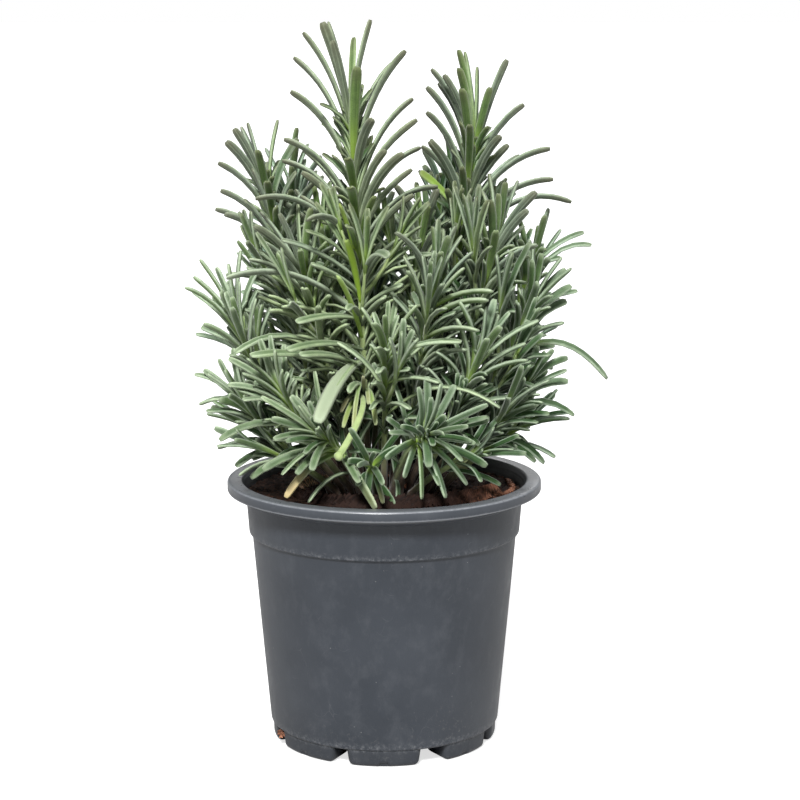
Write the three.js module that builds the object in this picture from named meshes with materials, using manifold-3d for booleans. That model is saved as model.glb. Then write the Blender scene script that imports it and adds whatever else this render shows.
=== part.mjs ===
// Potted lavender: leafy stems of lavender standing in the soil of a moulded nursery pot.
// Units are millimetres and +Z is up. The pot stands on the floor at z = 0, and the origin is
// the middle of the whole plant's footprint there. The front of the plant faces -Y.
import * as THREE from 'three';
import { mergeVertices } from 'three/addons/utils/BufferGeometryUtils.js';
import Module from 'manifold-3d';

const wasm = await Module();
wasm.setup();

// Pot
const rimRadius = 65;
const potHeight = 110;
const wall = 1;
const rimWidth = 6.2;
const rimRoll = 1.4;
const skirtDrop = 4;
const bandTopRadius = 57.7;
const bandBottomRadius = 56.1;
const bandTopHeight = 104.5;
const bandBottomHeight = 89.2;
const stepHeight = 1.4;
const bodyTopRadius = 55.2;
const bodyBottomRadius = 47.8;
const floorHeight = 7;
const potSides = 32;

// Feet under the pot
const footCount = 8;
const footOuterRadius = 46.9;
const footInnerRadius = 31;
const footGap = 6.4;
const footPlate = 1.8;
const footNotchWidth = 7;
const footNotchDepth = 8;
const footNotchHeight = 0.8;
const drainWidth = 4.6;
const drainInnerRadius = 37;
const drainOuterRadius = 44.6;

// Soil
const gap = 0.3;
const soilLevel = 103.6;
const soilRelief = 1.1;
const soilRings = 4;
const rootDepth = 12;
const stemRise = 1.5;

// Stems: half the width of their square section, and the length of the steps they bend in
const stemRootHalf = 1.3;
const stemTipHalf = 0.9;
const stemStep = 32;

// Leaves: the spacing of their pairs grows by the stretch from each pair to the next lower one.
const leafWidth = 3.6;
const leafThickness = 1.3;
const longLeaf = 50;
const smallestEdge = 0.05;
const rootStagger = 0.7;
const pairGap = 4.8;
const pairStretch = 0.1;

// How wide a leaf opens from its stem, in degrees, at its base and at its tip: on the top pair, more
// on each lower pair, and at most
const baseOpening = { top: 8, step: 5, most: 66 };
const tipOpening = { top: 14, step: 8, most: 100 };
const sag = 0.22;
const youngShares = [0.72, 0.9];
const youngShare = 1.04;
const oldShare = 0.66;

// How much the leaves of a stem differ: in degrees for the turn, otherwise as a share
const uneven = { turn: 13, angle: 0.12, length: 0.09, width: 0.13, sag: 0.2 };

// The distances that leaves keep, measured between points along them
const sampleStep = 2.5;
const leafClearance = 2.3;
const ownClearance = 1.9;
const ownRootSamples = 6;
const potClearance = 1.7;

// Each leafy stem: its name, where it leaves the soil, where its tip stands, how far out it bends as a
// share of the way, its longest leaf, the first and last of its pairs of leaves counted down from the
// tip, how fast they open, and the turn of its top pair.
const shoots = [
  ['tall_centre', [-6, -11], [-13, -14, 258], 0.5, 46, [7, 12], 1, 0],
  ['tall_right', [12, 0], [37, 8, 246], 0.62, 42, [6, 10], 1, 80],
  ['tall_left', [-18, 0], [-48, 0, 230], 0.62, 37, [4, 9], 1, 10],
  ['front_right', [3, -16.5], [17, -45, 136], 0.3, 38, [0, 6], 2.4, 25],
  ['front_left', [-9, -16.5], [-24, -41, 135], 0.4, 37, [0, 5], 2, 50],
  ['left_outer', [-15, -5.5], [-59, -10, 176], 0.7, 35, [1, 6], 1.1, 85],
  ['left_low', [-21, -5.5], [-56, -18, 144], 0.6, 33, [0, 5], 1.3, 30],
  ['left_front', [-12, -11], [-40, -32, 150], 0.6, 35, [0, 5], 1.4, 60],
  ['right_outer', [18, 2], [61, 5, 199], 0.7, 35, [1, 7], 1.1, 5],
  ['right_mid', [15, -5.5], [58, -10, 180], 0.66, 36, [0, 6], 1.2, 40],
  ['right_low', [21, -5.5], [55, -15, 148], 0.6, 33, [0, 5], 1.4, 75],
  ['right_inner', [9, -5.5], [45, -12, 209], 0.64, 35, [0, 6], 1.1, 55],
  ['mid_right', [6, -11], [20, -28, 194], 0.55, 36, [0, 6], 1.1, 20],
  ['mid_left', [-9, -5.5], [-32, -16, 196], 0.6, 38, [0, 6], 1.1, 45],
  ['right_front', [12, -11], [37, -33, 164], 0.6, 35, [0, 6], 1.4, 10],
  ['mid_front', [0, -11], [1, -34, 168], 0.5, 33, [0, 6], 1.4, 70],
  ['centre', [3, 0], [15, 2, 221], 0.55, 35, [0, 5], 1, 30],
  ['left_inner', [-9, 1.5], [-25, 9, 208], 0.55, 35, [0, 5], 1, 65],
  ['back_left', [-12, 8], [-39, 22, 221], 0.6, 36, [1, 7], 1, 35],
  ['back_tall', [-4, 9], [-4, 36, 224], 0.6, 38, [0, 6], 1, 75],
  ['back_right', [8, 10.5], [28, 37, 222], 0.62, 37, [0, 6], 1.1, 18],
  ['right_back_low', [18, 8.5], [58, 26, 164], 0.66, 35, [0, 5], 1.4, 50],
  ['left_back_low', [-18, 7.5], [-57, 22, 162], 0.66, 35, [0, 5], 1.4, 20],
  ['back_outer_right', [14, 14.5], [46, 46, 184], 0.66, 36, [0, 5], 1.3, 60],
  ['back_outer_left', [-14, 14], [-42, 46, 186], 0.66, 36, [0, 5], 1.3, 80],
  ['back_low_left', [-8, 18.5], [-24, 55, 152], 0.6, 35, [0, 4], 1.5, 5],
  ['back_low_right', [6, 18], [20, 57, 150], 0.6, 35, [0, 4], 1.5, 40],
  ['front_low', [-3, -20], [-5, -44, 124], 0.4, 29, [0, 4], 2.6, 35],
  ['right_front_low', [9, -18.5], [37, -40, 128], 0.45, 31, [0, 4], 2.2, 70],
  ['right_rim', [24, 1.5], [55, 4, 130], 0.5, 33, [0, 4], 2, 15],
  ['left_rim', [-18, -12], [-47, -25, 126], 0.45, 34, [0, 4], 2.2, 55],
  ['back_rim', [-1, 23.5], [-3, 54, 127], 0.5, 33, [0, 4], 2.2, 25],
  ['left_back_rim', [-24, 2], [-54, 8, 128], 0.5, 33, [0, 4], 2.1, 0],
].map((row) => {
  const [name, root, tip, out, leaf, pairs, open, turn] = row;
  return { name, root, tip, out, leaf, pairs, open, turn };
});

// Single leaves that show in the outline or stand out. Each has how far below the stem's tip it grows,
// where its own tip lies, how far its bend is lifted as a share of its reach, and its width as a share
// of the usual one.
const standoutLeaves = {
  tall_centre: [
    [2, [-24, -22, 296], 0.06, 1.15], [0, [-22, -4, 296], 0.06, 1], [0, [-5, -14, 297], 0.05, 1],
    [2, [-12, -2, 290], 0.02, 0.95], [8, [-32, -12, 292], 0.12, 1], [6, [-20, -27, 289], 0.05, 1],
    [15, [-36, -8, 282], 0.15, 1.1], [24, [-37, -17, 269], 0.16, 1.1], [18, [9, -16, 285], 0.13, 1.1],
    [8, [4, -2, 280], 0.12, 1], [31, [12, -11, 266], 0.17, 1], [16, [-10, -32, 279], 0.08, 1.25],
    [12, [-9, 4, 271], 0.05, 1], [24, [-4, -34, 259], 0.14, 1.15], [38, [-40, -14, 250], 0.2, 1.05],
    [45, [-41, -8, 241], 0.22, 1], [36, [-14, -38, 244], 0.18, 1.1], [43, [15, -4, 246], 0.22, 1],
    [46, [-13, -42, 233], 0.2, 1.1], [56, [-51, -24, 227], 0.3, 1], [53, [-30, -38, 220], 0.28, 1.1],
    [52, [22, -14, 231], 0.26, 1], [30, [-14, 20, 252], 0.16, 1], [45, [-8, 24, 238], 0.2, 1],
    [80, [-62, -36, 197], 0.2, 1.15], [96, [-24, -53, 143], 0.12, 1.6], [66, [2, -50, 207], 0.2, 1.1],
  ],
  tall_right: [
    [1, [30, 3, 285], 0.05, 1.15], [0, [33, 14, 284], 0.04, 1], [1, [38, 12, 278], 0.02, 0.9],
    [6, [19, 12, 277], 0.13, 0.95], [4, [24, 4, 275], 0.08, 1], [9, [22, 18, 271], 0.12, 0.95],
    [13, [17, 6, 270], 0.14, 1.05], [6, [30, -6, 278], 0.07, 1.05], [16, [31, -12, 270], 0.1, 1.1],
    [19, [17, 3, 260], 0.16, 1.05], [29, [15, 6, 246], 0.2, 1], [8, [50, 8, 281], 0.1, 1.05],
    [4, [43, 1, 270], 0.06, 1], [16, [57, 5, 263], 0.16, 1.1], [30, [68, 6, 245], 0.2, 1.05],
    [38, [69, 0, 233], 0.2, 1], [46, [77, 6, 223], 0.34, 1], [22, [34, -18, 256], 0.14, 1],
    [24, [47, -8, 251], 0.14, 1], [20, [36, 34, 258], 0.16, 1],
  ],
  tall_left: [
    [3, [-60, -8, 254], 0.06, 1], [2, [-58, 6, 254], 0.05, 1], [0, [-55, 1, 256], 0.04, 0.9],
    [8, [-63, -11, 249], 0.1, 1.15], [14, [-67, -4, 240], 0.14, 1.05], [24, [-66, -6, 229], 0.16, 1.05],
    [4, [-43, 4, 257], 0.04, 0.95], [8, [-50, -18, 246], 0.07, 1], [7, [-43, 12, 240], 0.06, 0.95],
    [32, [-64, -12, 220], 0.18, 1], [18, [-46, -22, 234], 0.12, 1],
  ],
  back_left: [
    [1, [-36, 20, 253], 0.05, 1], [8, [-26, 24, 241], 0.14, 0.95], [9, [-27, 12, 232], 0.12, 0.95],
  ],
  left_outer: [
    [1, [-74, -12, 202], 0.06, 0.95], [0, [-58, -6, 205], 0.03, 1], [12, [-80, -16, 191], 0.18, 0.9],
    [14, [-78, -5, 188], 0.12, 0.95], [22, [-73, -14, 176], 0.14, 0.95], [4, [-68, -6, 198], 0.07, 1],
  ],
  left_low: [
    [6, [-77, -12, 155], 0.2, 0.9], [8, [-75, -15, 143], 0.34, 1], [11, [-66, -27, 147], 0.16, 1.1],
  ],
  left_front: [[8, [-62, -32, 154], 0.14, 1], [20, [-66, -30, 131], 0.25, 1]],
  mid_left: [[30, [-59, -34, 167], 0.2, 1.15]],
  right_outer: [
    [3, [82, 6, 211], 0.1, 0.95], [12, [85, 2, 206], 0.3, 0.95], [4, [72, 1, 201], 0.1, 1.05],
    [0, [63, 3, 214], 0.03, 1],
  ],
  right_mid: [
    [6, [74, -5, 197], 0.12, 1], [14, [75, 3, 183], 0.14, 1.1], [20, [92, -2, 151], 0.42, 1.05],
  ],
  right_low: [
    [4, [75, -8, 161], 0.2, 0.9], [10, [75, -12, 152], 0.2, 1.05], [14, [78, -8, 137], 0.36, 0.95],
  ],
  mid_front: [[30, [46, -46, 147], 0.3, 1.1]],
  front_left: [[14, [-4, -44, 108], 0.16, 1.25]],
  right_rim: [[6, [62, 6, 118], 0.4, 0.95]],
};

// The ways to turn, open and shorten a leaf that would cross another one, tried in this order
const waysClear = [
  [0, 0, 1], [14, 0, 1], [-14, 0, 1], [0, -9, 1], [0, 9, 1], [24, -8, 1], [-24, -8, 1], [24, 8, 1],
  [-24, 8, 1], [36, 0, 0.92], [-36, 0, 0.92], [0, -18, 0.92], [0, 16, 0.92], [30, -16, 0.85],
  [-30, -16, 0.85], [44, 12, 0.85], [-44, 12, 0.85], [0, -24, 0.75], [20, 20, 0.75], [-20, 20, 0.75],
  [0, 0, 0.7], [52, -10, 0.7], [-52, -10, 0.7], [14, -26, 0.62], [-14, -26, 0.62], [0, 0, 0.55],
];

// A number from 0 to 1 that depends only on its seeds, and one from -1 to 1
function draw(...seeds) {
  const modulus = 2147483647;
  const factor = 16807;
  let state = 20011;
  for (const seed of seeds) state = ((state + seed * 7919 + 1) * factor) % modulus;
  for (let i = 0; i < 3; i++) state = (state * factor) % modulus;
  return state / modulus;
}

const swing = (...seeds) => 2 * draw(...seeds) - 1;
const mix = (a, b, share) => a + (b - a) * share;
const degrees = (angle) => (angle * Math.PI) / 180;
const vector = (x, y, z) => new THREE.Vector3(x, y, z);

// The direction square to a stem at the given turn about it
function sideways(along, turn) {
  const east = vector(1, 0, 0).addScaledVector(along, -along.x).normalize();
  const north = vector().crossVectors(along, east);
  return east.multiplyScalar(Math.cos(turn)).addScaledVector(north, Math.sin(turn));
}

// A stem rises straight from its root to just above the soil, and then bends to its tip.
function stemCurve(shoot) {
  const collar = vector(...shoot.root, soilLevel + stemRise);
  const tip = vector(...shoot.tip);
  const bend = collar.clone().lerp(tip, shoot.out);
  bend.z = mix(collar.z, tip.z, 1 - 0.8 * shoot.out);
  return new THREE.QuadraticBezierCurve3(collar, bend, tip);
}

// The place and the direction of a stem at a distance below its tip
function onStem(shoot, below) {
  const curve = stemCurve(shoot);
  const share = Math.max(0, 1 - below / curve.getLength());
  return { place: curve.getPointAt(share), along: curve.getTangentAt(share) };
}

const opening = ({ top, step, most }, pairs) => Math.min(most, top + step * pairs);

// A leaf of a pair leaves its stem at one angle and ends at a wider one, and sags where it lies flat.
function leafOfPair(shoot, index, pair, twin, [moreTurn, moreOpen, shorter]) {
  const below = pairGap * pair * (1 + pairStretch * pair) + rootStagger * (1 + twin);
  const { place, along } = onStem(shoot, below);
  const differ = (what, most) => most * swing(index, pair, twin, what);
  const turn = shoot.turn + 90 * pair + 180 * twin + differ(1, uneven.turn) + moreTurn;
  const outward = sideways(along, degrees(turn));
  const opened = pair * shoot.open;
  const start = opening(baseOpening, opened) * (1 + differ(2, uneven.angle)) + moreOpen / 2;
  const end = opening(tipOpening, opened) * (1 + differ(3, uneven.angle)) + moreOpen;
  const heading = (angle) =>
    along.clone().multiplyScalar(Math.cos(angle)).addScaledVector(outward, Math.sin(angle));
  const age = pair / Math.max(4, shoot.pairs[1]);
  const grown = youngShares[pair] ?? mix(youngShare, oldShare, age);
  const length = shoot.leaf * grown * (1 + differ(4, uneven.length)) * shorter;
  const last = heading(degrees(end));
  last.z -= (sag + differ(5, uneven.sag)) * (1 - Math.abs(last.z));
  const bend = place.clone().addScaledVector(heading(degrees(start)), length / 2);
  const tip = bend.clone().addScaledVector(last.normalize(), length / 2);
  const across = vector().crossVectors(along, outward);
  const width = leafWidth * (1 + differ(6, uneven.width)) * (pair === 0 ? 0.8 : 1);
  return leafOn(new THREE.QuadraticBezierCurve3(place, bend, tip), across, width);
}

function standoutLeaf(shoot, [below, end, lift, wide], order) {
  const { place, along } = onStem(shoot, below + rootStagger * (1 + 0.5 * (order % 4)));
  const tip = vector(...end);
  const bend = place.clone().lerp(tip, 0.5);
  bend.z += lift * tip.distanceTo(place);
  const across = vector().crossVectors(along, bend.clone().sub(place)).normalize();
  return leafOn(new THREE.QuadraticBezierCurve3(place, bend, tip), across, leafWidth * wide);
}

// A leaf with its length and with the points along both halves of its width
function leafOn(curve, across, width) {
  const length = curve.getLength();
  const count = Math.ceil(length / sampleStep);
  const points = [];
  for (let i = 1; i <= count; i++) {
    const centre = curve.getPoint(i / count);
    for (const side of [-0.25, 0.25]) points.push(centre.clone().addScaledVector(across, side * width));
  }
  return { curve, across, width, length, ball: ballOf(points) };
}

// Points with the ball that holds them all
function ballOf(points) {
  const centre = new THREE.Box3().setFromPoints(points).getCenter(vector());
  return { points, centre, radius: Math.max(...points.map((p) => p.distanceTo(centre))) };
}

function stemBall(shoot) {
  const curve = stemCurve(shoot);
  return ballOf(curve.getSpacedPoints(Math.ceil(curve.getLength() / sampleStep)));
}

function meets(a, b, clearance, skipped = 0) {
  if (a.centre.distanceTo(b.centre) > a.radius + b.radius + clearance) return false;
  const others = b.points.slice(skipped);
  return a.points.slice(skipped).some((p) => others.some((q) => p.distanceTo(q) < clearance));
}

// Whether a point is in or too near the soil, the rim or the pot's wall
function meetsPot(p) {
  const radius = Math.hypot(p.x, p.y);
  if (radius < rimRadius - rimWidth - potClearance) return p.z < soilLevel + soilRelief + potClearance;
  return radius < rimRadius + potClearance && p.z < potHeight + potClearance;
}

// The leaves of every stem. A leaf that finds no way clear of the other stems isn't grown.
function growLeaves() {
  const stems = shoots.map(stemBall);
  const grown = shoots.map(() => []);
  const isClear = ({ ball }, index) => {
    const isNear = (other) => meets(ball, other, leafClearance);
    const others = [...stems.keys()].filter((i) => i !== index);
    const meetsOther = others.some((i) => isNear(stems[i]) || grown[i].some((leaf) => isNear(leaf.ball)));
    return !meetsOther && !ball.points.some(meetsPot);
  };
  const isClearOfOwn = ({ ball }, index) =>
    !grown[index].some((leaf) => meets(ball, leaf.ball, ownClearance, ownRootSamples));
  shoots.forEach((shoot, index) => {
    const leaves = (standoutLeaves[shoot.name] ?? []).map((row, order) => standoutLeaf(shoot, row, order));
    grown[index].push(...leaves.filter((leaf) => isClear(leaf, index)));
  });
  shoots.forEach((shoot, index) => {
    for (let pair = shoot.pairs[0]; pair < shoot.pairs[1]; pair++) {
      for (const twin of [0, 1]) {
        const choices = waysClear.map((way) => leafOfPair(shoot, index, pair, twin, way));
        const clear = choices.filter((leaf) => isClear(leaf, index));
        const best = clear.find((leaf) => isClearOfOwn(leaf, index)) ?? clear[0];
        if (best) grown[index].push(best);
      }
    }
  });
  return grown;
}

// A solid from a closed geometry, and a geometry from a solid
function solidOf(geometry) {
  const merged = bareOf(geometry);
  const vertProperties = merged.attributes.position.array;
  return new wasm.Manifold(new wasm.Mesh({ numProp: 3, vertProperties, triVerts: merged.index.array }));
}

function geometryOf(solid) {
  const mesh = solid.getMesh();
  const geometry = new THREE.BufferGeometry();
  geometry.setAttribute('position', new THREE.BufferAttribute(mesh.vertProperties, 3));
  geometry.setIndex(new THREE.BufferAttribute(mesh.triVerts, 1));
  geometry.computeVertexNormals();
  return geometry;
}

// A copy of a geometry with positions only and its shared vertices merged
function bareOf(geometry) {
  const bare = geometry.clone();
  bare.deleteAttribute('normal');
  bare.deleteAttribute('uv');
  return mergeVertices(bare, 1e-4);
}

// A straight bar of the given section, one unit long along Z, cut into steps for bending
function barOf(corners, steps) {
  const section = new THREE.Shape(corners.map(([x, y]) => new THREE.Vector2(x, y)));
  return bareOf(new THREE.ExtrudeGeometry(section, { depth: 1, steps, bevelEnabled: false }));
}

// Bends a straight bar: each step goes to its own place and frame, with its own width and thickness.
function bentBar(bar, frameAt) {
  const bent = bar.clone();
  const place = bent.attributes.position;
  for (let i = 0; i < place.count; i++) {
    const { centre, across, up, wide, thick } = frameAt(place.getZ(i));
    centre.addScaledVector(across, place.getX(i) * wide).addScaledVector(up, place.getY(i) * thick);
    place.setXYZ(i, centre.x, centre.y, centre.z);
  }
  return solidOf(bent);
}

// A leaf is flat above and keeled below. Its stations give the share of the way, the width and the
// thickness.
const leafSection = [[-0.5, 0.2], [0, -0.8], [0.5, 0.2]];
const stemSection = [[-1, -1], [1, -1], [1, 1], [-1, 1]];
const longStations = [[0, 0.28, 0.55], [0.36, 0.95, 1], [0.76, 1, 1], [1, 0.42, 0.55]];
const shortStations = [[0, 0.28, 0.55], [0.52, 1, 1], [1, 0.42, 0.55]];

function leafSolid({ curve, across, width, length }) {
  const stations = length < longLeaf ? shortStations : longStations;
  const steps = stations.length - 1;
  return bentBar(barOf(leafSection, steps), (step) => {
    const [share, wide, thick] = stations[Math.round(step * steps)];
    const up = vector().crossVectors(curve.getTangent(share), across).normalize();
    return { centre: curve.getPoint(share), across, up, wide: width * wide, thick: leafThickness * thick };
  });
}

// A stem's first step is its straight foot in the soil. Its four faces look the way its leaves grow.
function stemSolid(shoot) {
  const curve = stemCurve(shoot);
  const steps = 1 + Math.max(2, Math.round(curve.getLength() / stemStep));
  return bentBar(barOf(stemSection, steps), (step) => {
    const share = Math.max(0, (step * steps - 1) / (steps - 1));
    const centre = curve.getPointAt(share);
    if (step === 0) centre.z = soilLevel - rootDepth;
    const along = share > 0.01 ? curve.getTangentAt(share) : vector(0, 0, 1);
    const across = sideways(along, degrees(shoot.turn));
    const half = mix(stemRootHalf, stemTipHalf, share);
    return { centre, across, up: vector().crossVectors(along, across), wide: half, thick: half };
  });
}

// A stem fused with its leaves. Any pocket that the leaves close between them is filled, and edges
// shorter than the smallest one are merged.
function shootSolid(shoot, leaves) {
  const bodies = wasm.Manifold.union([stemSolid(shoot), ...leaves.map(leafSolid)]).decompose();
  return bodies.reduce((a, b) => (a.volume() > b.volume() ? a : b)).simplify(smallestEdge);
}

// A turned geometry from a profile of radius and height that starts and ends on the axis
function turned(profile) {
  const points = profile.map(([radius, height]) => new THREE.Vector2(radius, height));
  return bareOf(new THREE.LatheGeometry(points, potSides).rotateX(Math.PI / 2));
}

// One foot as a block under the pot's floor, drawn in by the given margin
function footBlock(turn, margin, bottom, top) {
  const half = Math.PI / footCount - (footGap / 2 + margin) / footOuterRadius;
  const outline = new THREE.Shape();
  outline.absarc(0, 0, footOuterRadius - margin, -half, half, false);
  outline.absarc(0, 0, footInnerRadius + margin, half, -half, true);
  const options = { depth: top - bottom, bevelEnabled: false, curveSegments: 2 };
  return solidOf(new THREE.ExtrudeGeometry(outline, options).rotateZ(turn).translate(0, 0, bottom));
}

function slot(width, near, far, bottom, top, turn) {
  const box = new THREE.BoxGeometry(far - near, width, top - bottom);
  return solidOf(box.translate((near + far) / 2, 0, (bottom + top) / 2).rotateZ(turn));
}

// One solid for each foot, turned to its place round the pot and on from there by a share of the pitch
function roundThePot(make, share = 0) {
  return Array.from({ length: footCount }, (_, i) => make(((i + share) * 2 * Math.PI) / footCount));
}

// The pot's inside, drawn in by the given margin, from its floor to the given height
function insideProfile(margin, top) {
  const drawnIn = wall + margin;
  const topShare = (top - bandBottomHeight) / (bandTopHeight - bandBottomHeight);
  return [
    [0, floorHeight + drawnIn],
    [bodyBottomRadius - drawnIn, floorHeight + drawnIn],
    [bodyTopRadius - drawnIn, bandBottomHeight - stepHeight],
    [bandBottomRadius - drawnIn, bandBottomHeight],
    [mix(bandBottomRadius, bandTopRadius, topShare) - drawnIn, top],
  ];
}

function potSolid() {
  const rimInner = rimRadius - rimWidth;
  const underRim = potHeight - rimRoll;
  const outside = [
    [0, floorHeight],
    [footOuterRadius - 0.6, floorHeight],
    [bodyBottomRadius, floorHeight + 1.4],
    [bodyTopRadius, bandBottomHeight - stepHeight],
    [bandBottomRadius, bandBottomHeight],
    [bandTopRadius, bandTopHeight],
    [rimInner, underRim],
    [rimRadius - 1.3 * wall, underRim],
    [rimRadius - 1.1 * wall, potHeight - skirtDrop],
    [rimRadius - 0.1 * wall, potHeight - skirtDrop],
    [rimRadius, underRim],
    [rimRadius - rimRoll, potHeight],
    [rimInner + 0.6, potHeight - 0.2],
    [rimInner - 0.5, underRim],
  ];
  const shell = solidOf(turned([...outside, ...insideProfile(0, bandTopHeight).reverse()]));
  const deep = floorHeight + wall + 0.5;
  const notchRadius = footOuterRadius - footNotchDepth;
  const feet = roundThePot((turn) => footBlock(turn, 0, 0, floorHeight + wall / 2));
  const hollows = roundThePot((turn) => footBlock(turn, wall, footPlate, deep));
  const notches = roundThePot((turn) =>
    slot(footNotchWidth, notchRadius, footOuterRadius + 1, -1, footNotchHeight, turn));
  const drains = roundThePot((turn) =>
    slot(drainWidth, drainInnerRadius, drainOuterRadius, floorHeight - 1, deep, turn), 0.5);
  const cuts = wasm.Manifold.union([...hollows, ...notches, ...drains]);
  return wasm.Manifold.union([shell, ...feet]).subtract(cuts);
}

// The height of the soil's crumbs over its level: crossing waves, broken by a draw
function soilBump(x, y) {
  const wave = Math.sin(x * 0.31 + 1.7 * Math.sin(y * 0.19));
  const crossWave = Math.sin(y * 0.37 - 1.3 * Math.sin(x * 0.23));
  const crumb = swing(Math.round(x + rimRadius), Math.round(y + rimRadius));
  return soilRelief * (0.3 * wave + 0.3 * crossWave + 0.4 * crumb);
}

// The soil fills the pot and its hollow feet, and each stem stands in a hole in it.
function soilSolid() {
  const side = insideProfile(gap, soilLevel);
  const [edge] = side.at(-1);
  const top = Array.from({ length: soilRings }, (_, i) => [edge * (1 - (i + 1) / soilRings), soilLevel]);
  const plug = turned([...side, ...top]);
  const place = plug.attributes.position;
  for (let i = 0; i < place.count; i++) {
    const [x, y, z] = [place.getX(i), place.getY(i), place.getZ(i)];
    const isOnTop = z > soilLevel - 0.1 && Math.hypot(x, y) < edge - 1;
    if (isOnTop) place.setZ(i, soilLevel + soilBump(x, y));
  }
  const fillings = roundThePot((turn) =>
    footBlock(turn, wall + gap, footPlate + gap, floorHeight + 2 * wall));
  const width = 2 * (stemRootHalf + gap);
  const bottom = soilLevel - rootDepth - gap;
  const mouth = soilLevel + 2 * soilRelief;
  const holes = shoots.map(({ root: [x, y], turn }) =>
    slot(width, -width / 2, width / 2, bottom, mouth, degrees(turn)).translate([x, y, 0]));
  return wasm.Manifold.union([solidOf(plug), ...fillings]).subtract(wasm.Manifold.union(holes));
}

const plasticGrey = { color: 0x45484e, roughness: 0.55, metalness: 0 };
const soilBrown = { color: 0x3a2218, roughness: 1, metalness: 0 };
const leafGreen = { color: 0x7d9577, roughness: 0.8, metalness: 0 };

function meshOf(name, solid, look) {
  const mesh = new THREE.Mesh(geometryOf(solid), new THREE.MeshStandardMaterial(look));
  mesh.name = name;
  return mesh;
}

const lavender = new THREE.Group();
lavender.add(meshOf('pot', potSolid(), plasticGrey));
lavender.add(meshOf('soil', soilSolid(), soilBrown));
growLeaves().forEach((leaves, index) => {
  lavender.add(meshOf(`stem_${shoots[index].name}`, shootSolid(shoots[index], leaves), leafGreen));
});

const middle = new THREE.Box3().setFromObject(lavender).getCenter(vector());
lavender.position.set(-middle.x, -middle.y, 0);

export default lavender;
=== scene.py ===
# Potted lavender: leafy stems in bark-flecked soil, in a moulded nursery pot.
# The growing rule works in millimetres from the pot's axis on the floor, and every finished piece is put in
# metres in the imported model's frame.
import math

import bmesh
import bpy
import numpy as np
from mathutils import Matrix, Vector, noise


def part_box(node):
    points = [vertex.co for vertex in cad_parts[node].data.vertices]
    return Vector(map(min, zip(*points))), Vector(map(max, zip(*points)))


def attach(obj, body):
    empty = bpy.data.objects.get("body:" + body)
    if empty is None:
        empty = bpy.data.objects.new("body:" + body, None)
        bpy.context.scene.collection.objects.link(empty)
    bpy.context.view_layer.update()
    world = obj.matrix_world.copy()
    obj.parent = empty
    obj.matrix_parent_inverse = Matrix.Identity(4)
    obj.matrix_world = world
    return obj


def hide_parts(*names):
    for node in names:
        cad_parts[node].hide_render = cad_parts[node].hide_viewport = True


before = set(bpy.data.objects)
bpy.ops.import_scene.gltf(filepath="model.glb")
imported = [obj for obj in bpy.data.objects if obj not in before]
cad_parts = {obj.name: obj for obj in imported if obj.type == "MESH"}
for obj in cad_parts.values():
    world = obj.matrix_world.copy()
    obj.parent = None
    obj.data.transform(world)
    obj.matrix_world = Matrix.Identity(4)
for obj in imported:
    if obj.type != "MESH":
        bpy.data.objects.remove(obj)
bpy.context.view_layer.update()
MM = 0.001
pot_low, pot_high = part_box("pot")
POT_AXIS = np.array([(pot_low.x + pot_high.x) / 2, (pot_low.y + pot_high.y) / 2, 0.0])

# Camera
PHOTO_FOCUS = 2161.0
PHOTO_SIDE = 800.0
VIEW_DROP = math.radians(10.17)
VIEW_DISTANCE = 891.0
AIM = np.array([6.5, 0.0, 142.2])

camera_data = bpy.data.cameras.new("camera")
camera_data.sensor_width = 36.0
camera_data.lens = PHOTO_FOCUS / PHOTO_SIDE * camera_data.sensor_width
camera = bpy.data.objects.new("camera", camera_data)
bpy.context.scene.collection.objects.link(camera)
back_off = np.array([0.0, -math.cos(VIEW_DROP), math.sin(VIEW_DROP)]) * VIEW_DISTANCE
camera.location = Vector((AIM + back_off) * MM + POT_AXIS)
camera.rotation_euler = (math.pi / 2 - VIEW_DROP, 0.0, 0.0)
bpy.context.scene.camera = camera

# Pot and soil
RIM_RADIUS = 65.0
RIM_WIDTH = 6.2
POT_HEIGHT = 110.0
SOIL_LEVEL = 103.6
SOIL_RELIEF = 1.1
POT_FLOOR = 7.0
FOOT_COUNT = 8
FOOT_OUTER = 46.9
FOOT_INNER = 31.0
FOOT_GAP = 5.0

# Stems and leaves, as in the solids
STEM_RISE = 1.5
STEM_ROOT_HALF = 1.3
STEM_TIP_HALF = 0.9
LEAF_WIDTH = 3.6
ROOT_STAGGER = 0.7
PAIR_GAP = 4.8
PAIR_STRETCH = 0.1
BASE_OPENING = (8, 5, 66)
TIP_OPENING = (14, 8, 100)
SAG = 0.22
YOUNG_SHARES = (0.72, 0.9)
YOUNG_SHARE = 1.04
OLD_SHARE = 0.66
UNEVEN_TURN = 13
UNEVEN_ANGLE = 0.12
UNEVEN_LENGTH = 0.09
UNEVEN_WIDTH = 0.13
UNEVEN_SAG = 0.2
BEND_DROP = 0.8
TOP_PAIR_WIDTH = 0.8
STANDOUT_AGING = 60
SAMPLE_STEP = 2.5
SAMPLE_SIDES = (-0.25, 0.25)
CURVE_MARKS = 201
THICKET_ROOM = 9000
LEAF_CLEARANCE = 2.3
OWN_CLEARANCE = 1.9
OWN_ROOT_SAMPLES = 6
POT_CLEARANCE = 1.7

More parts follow.
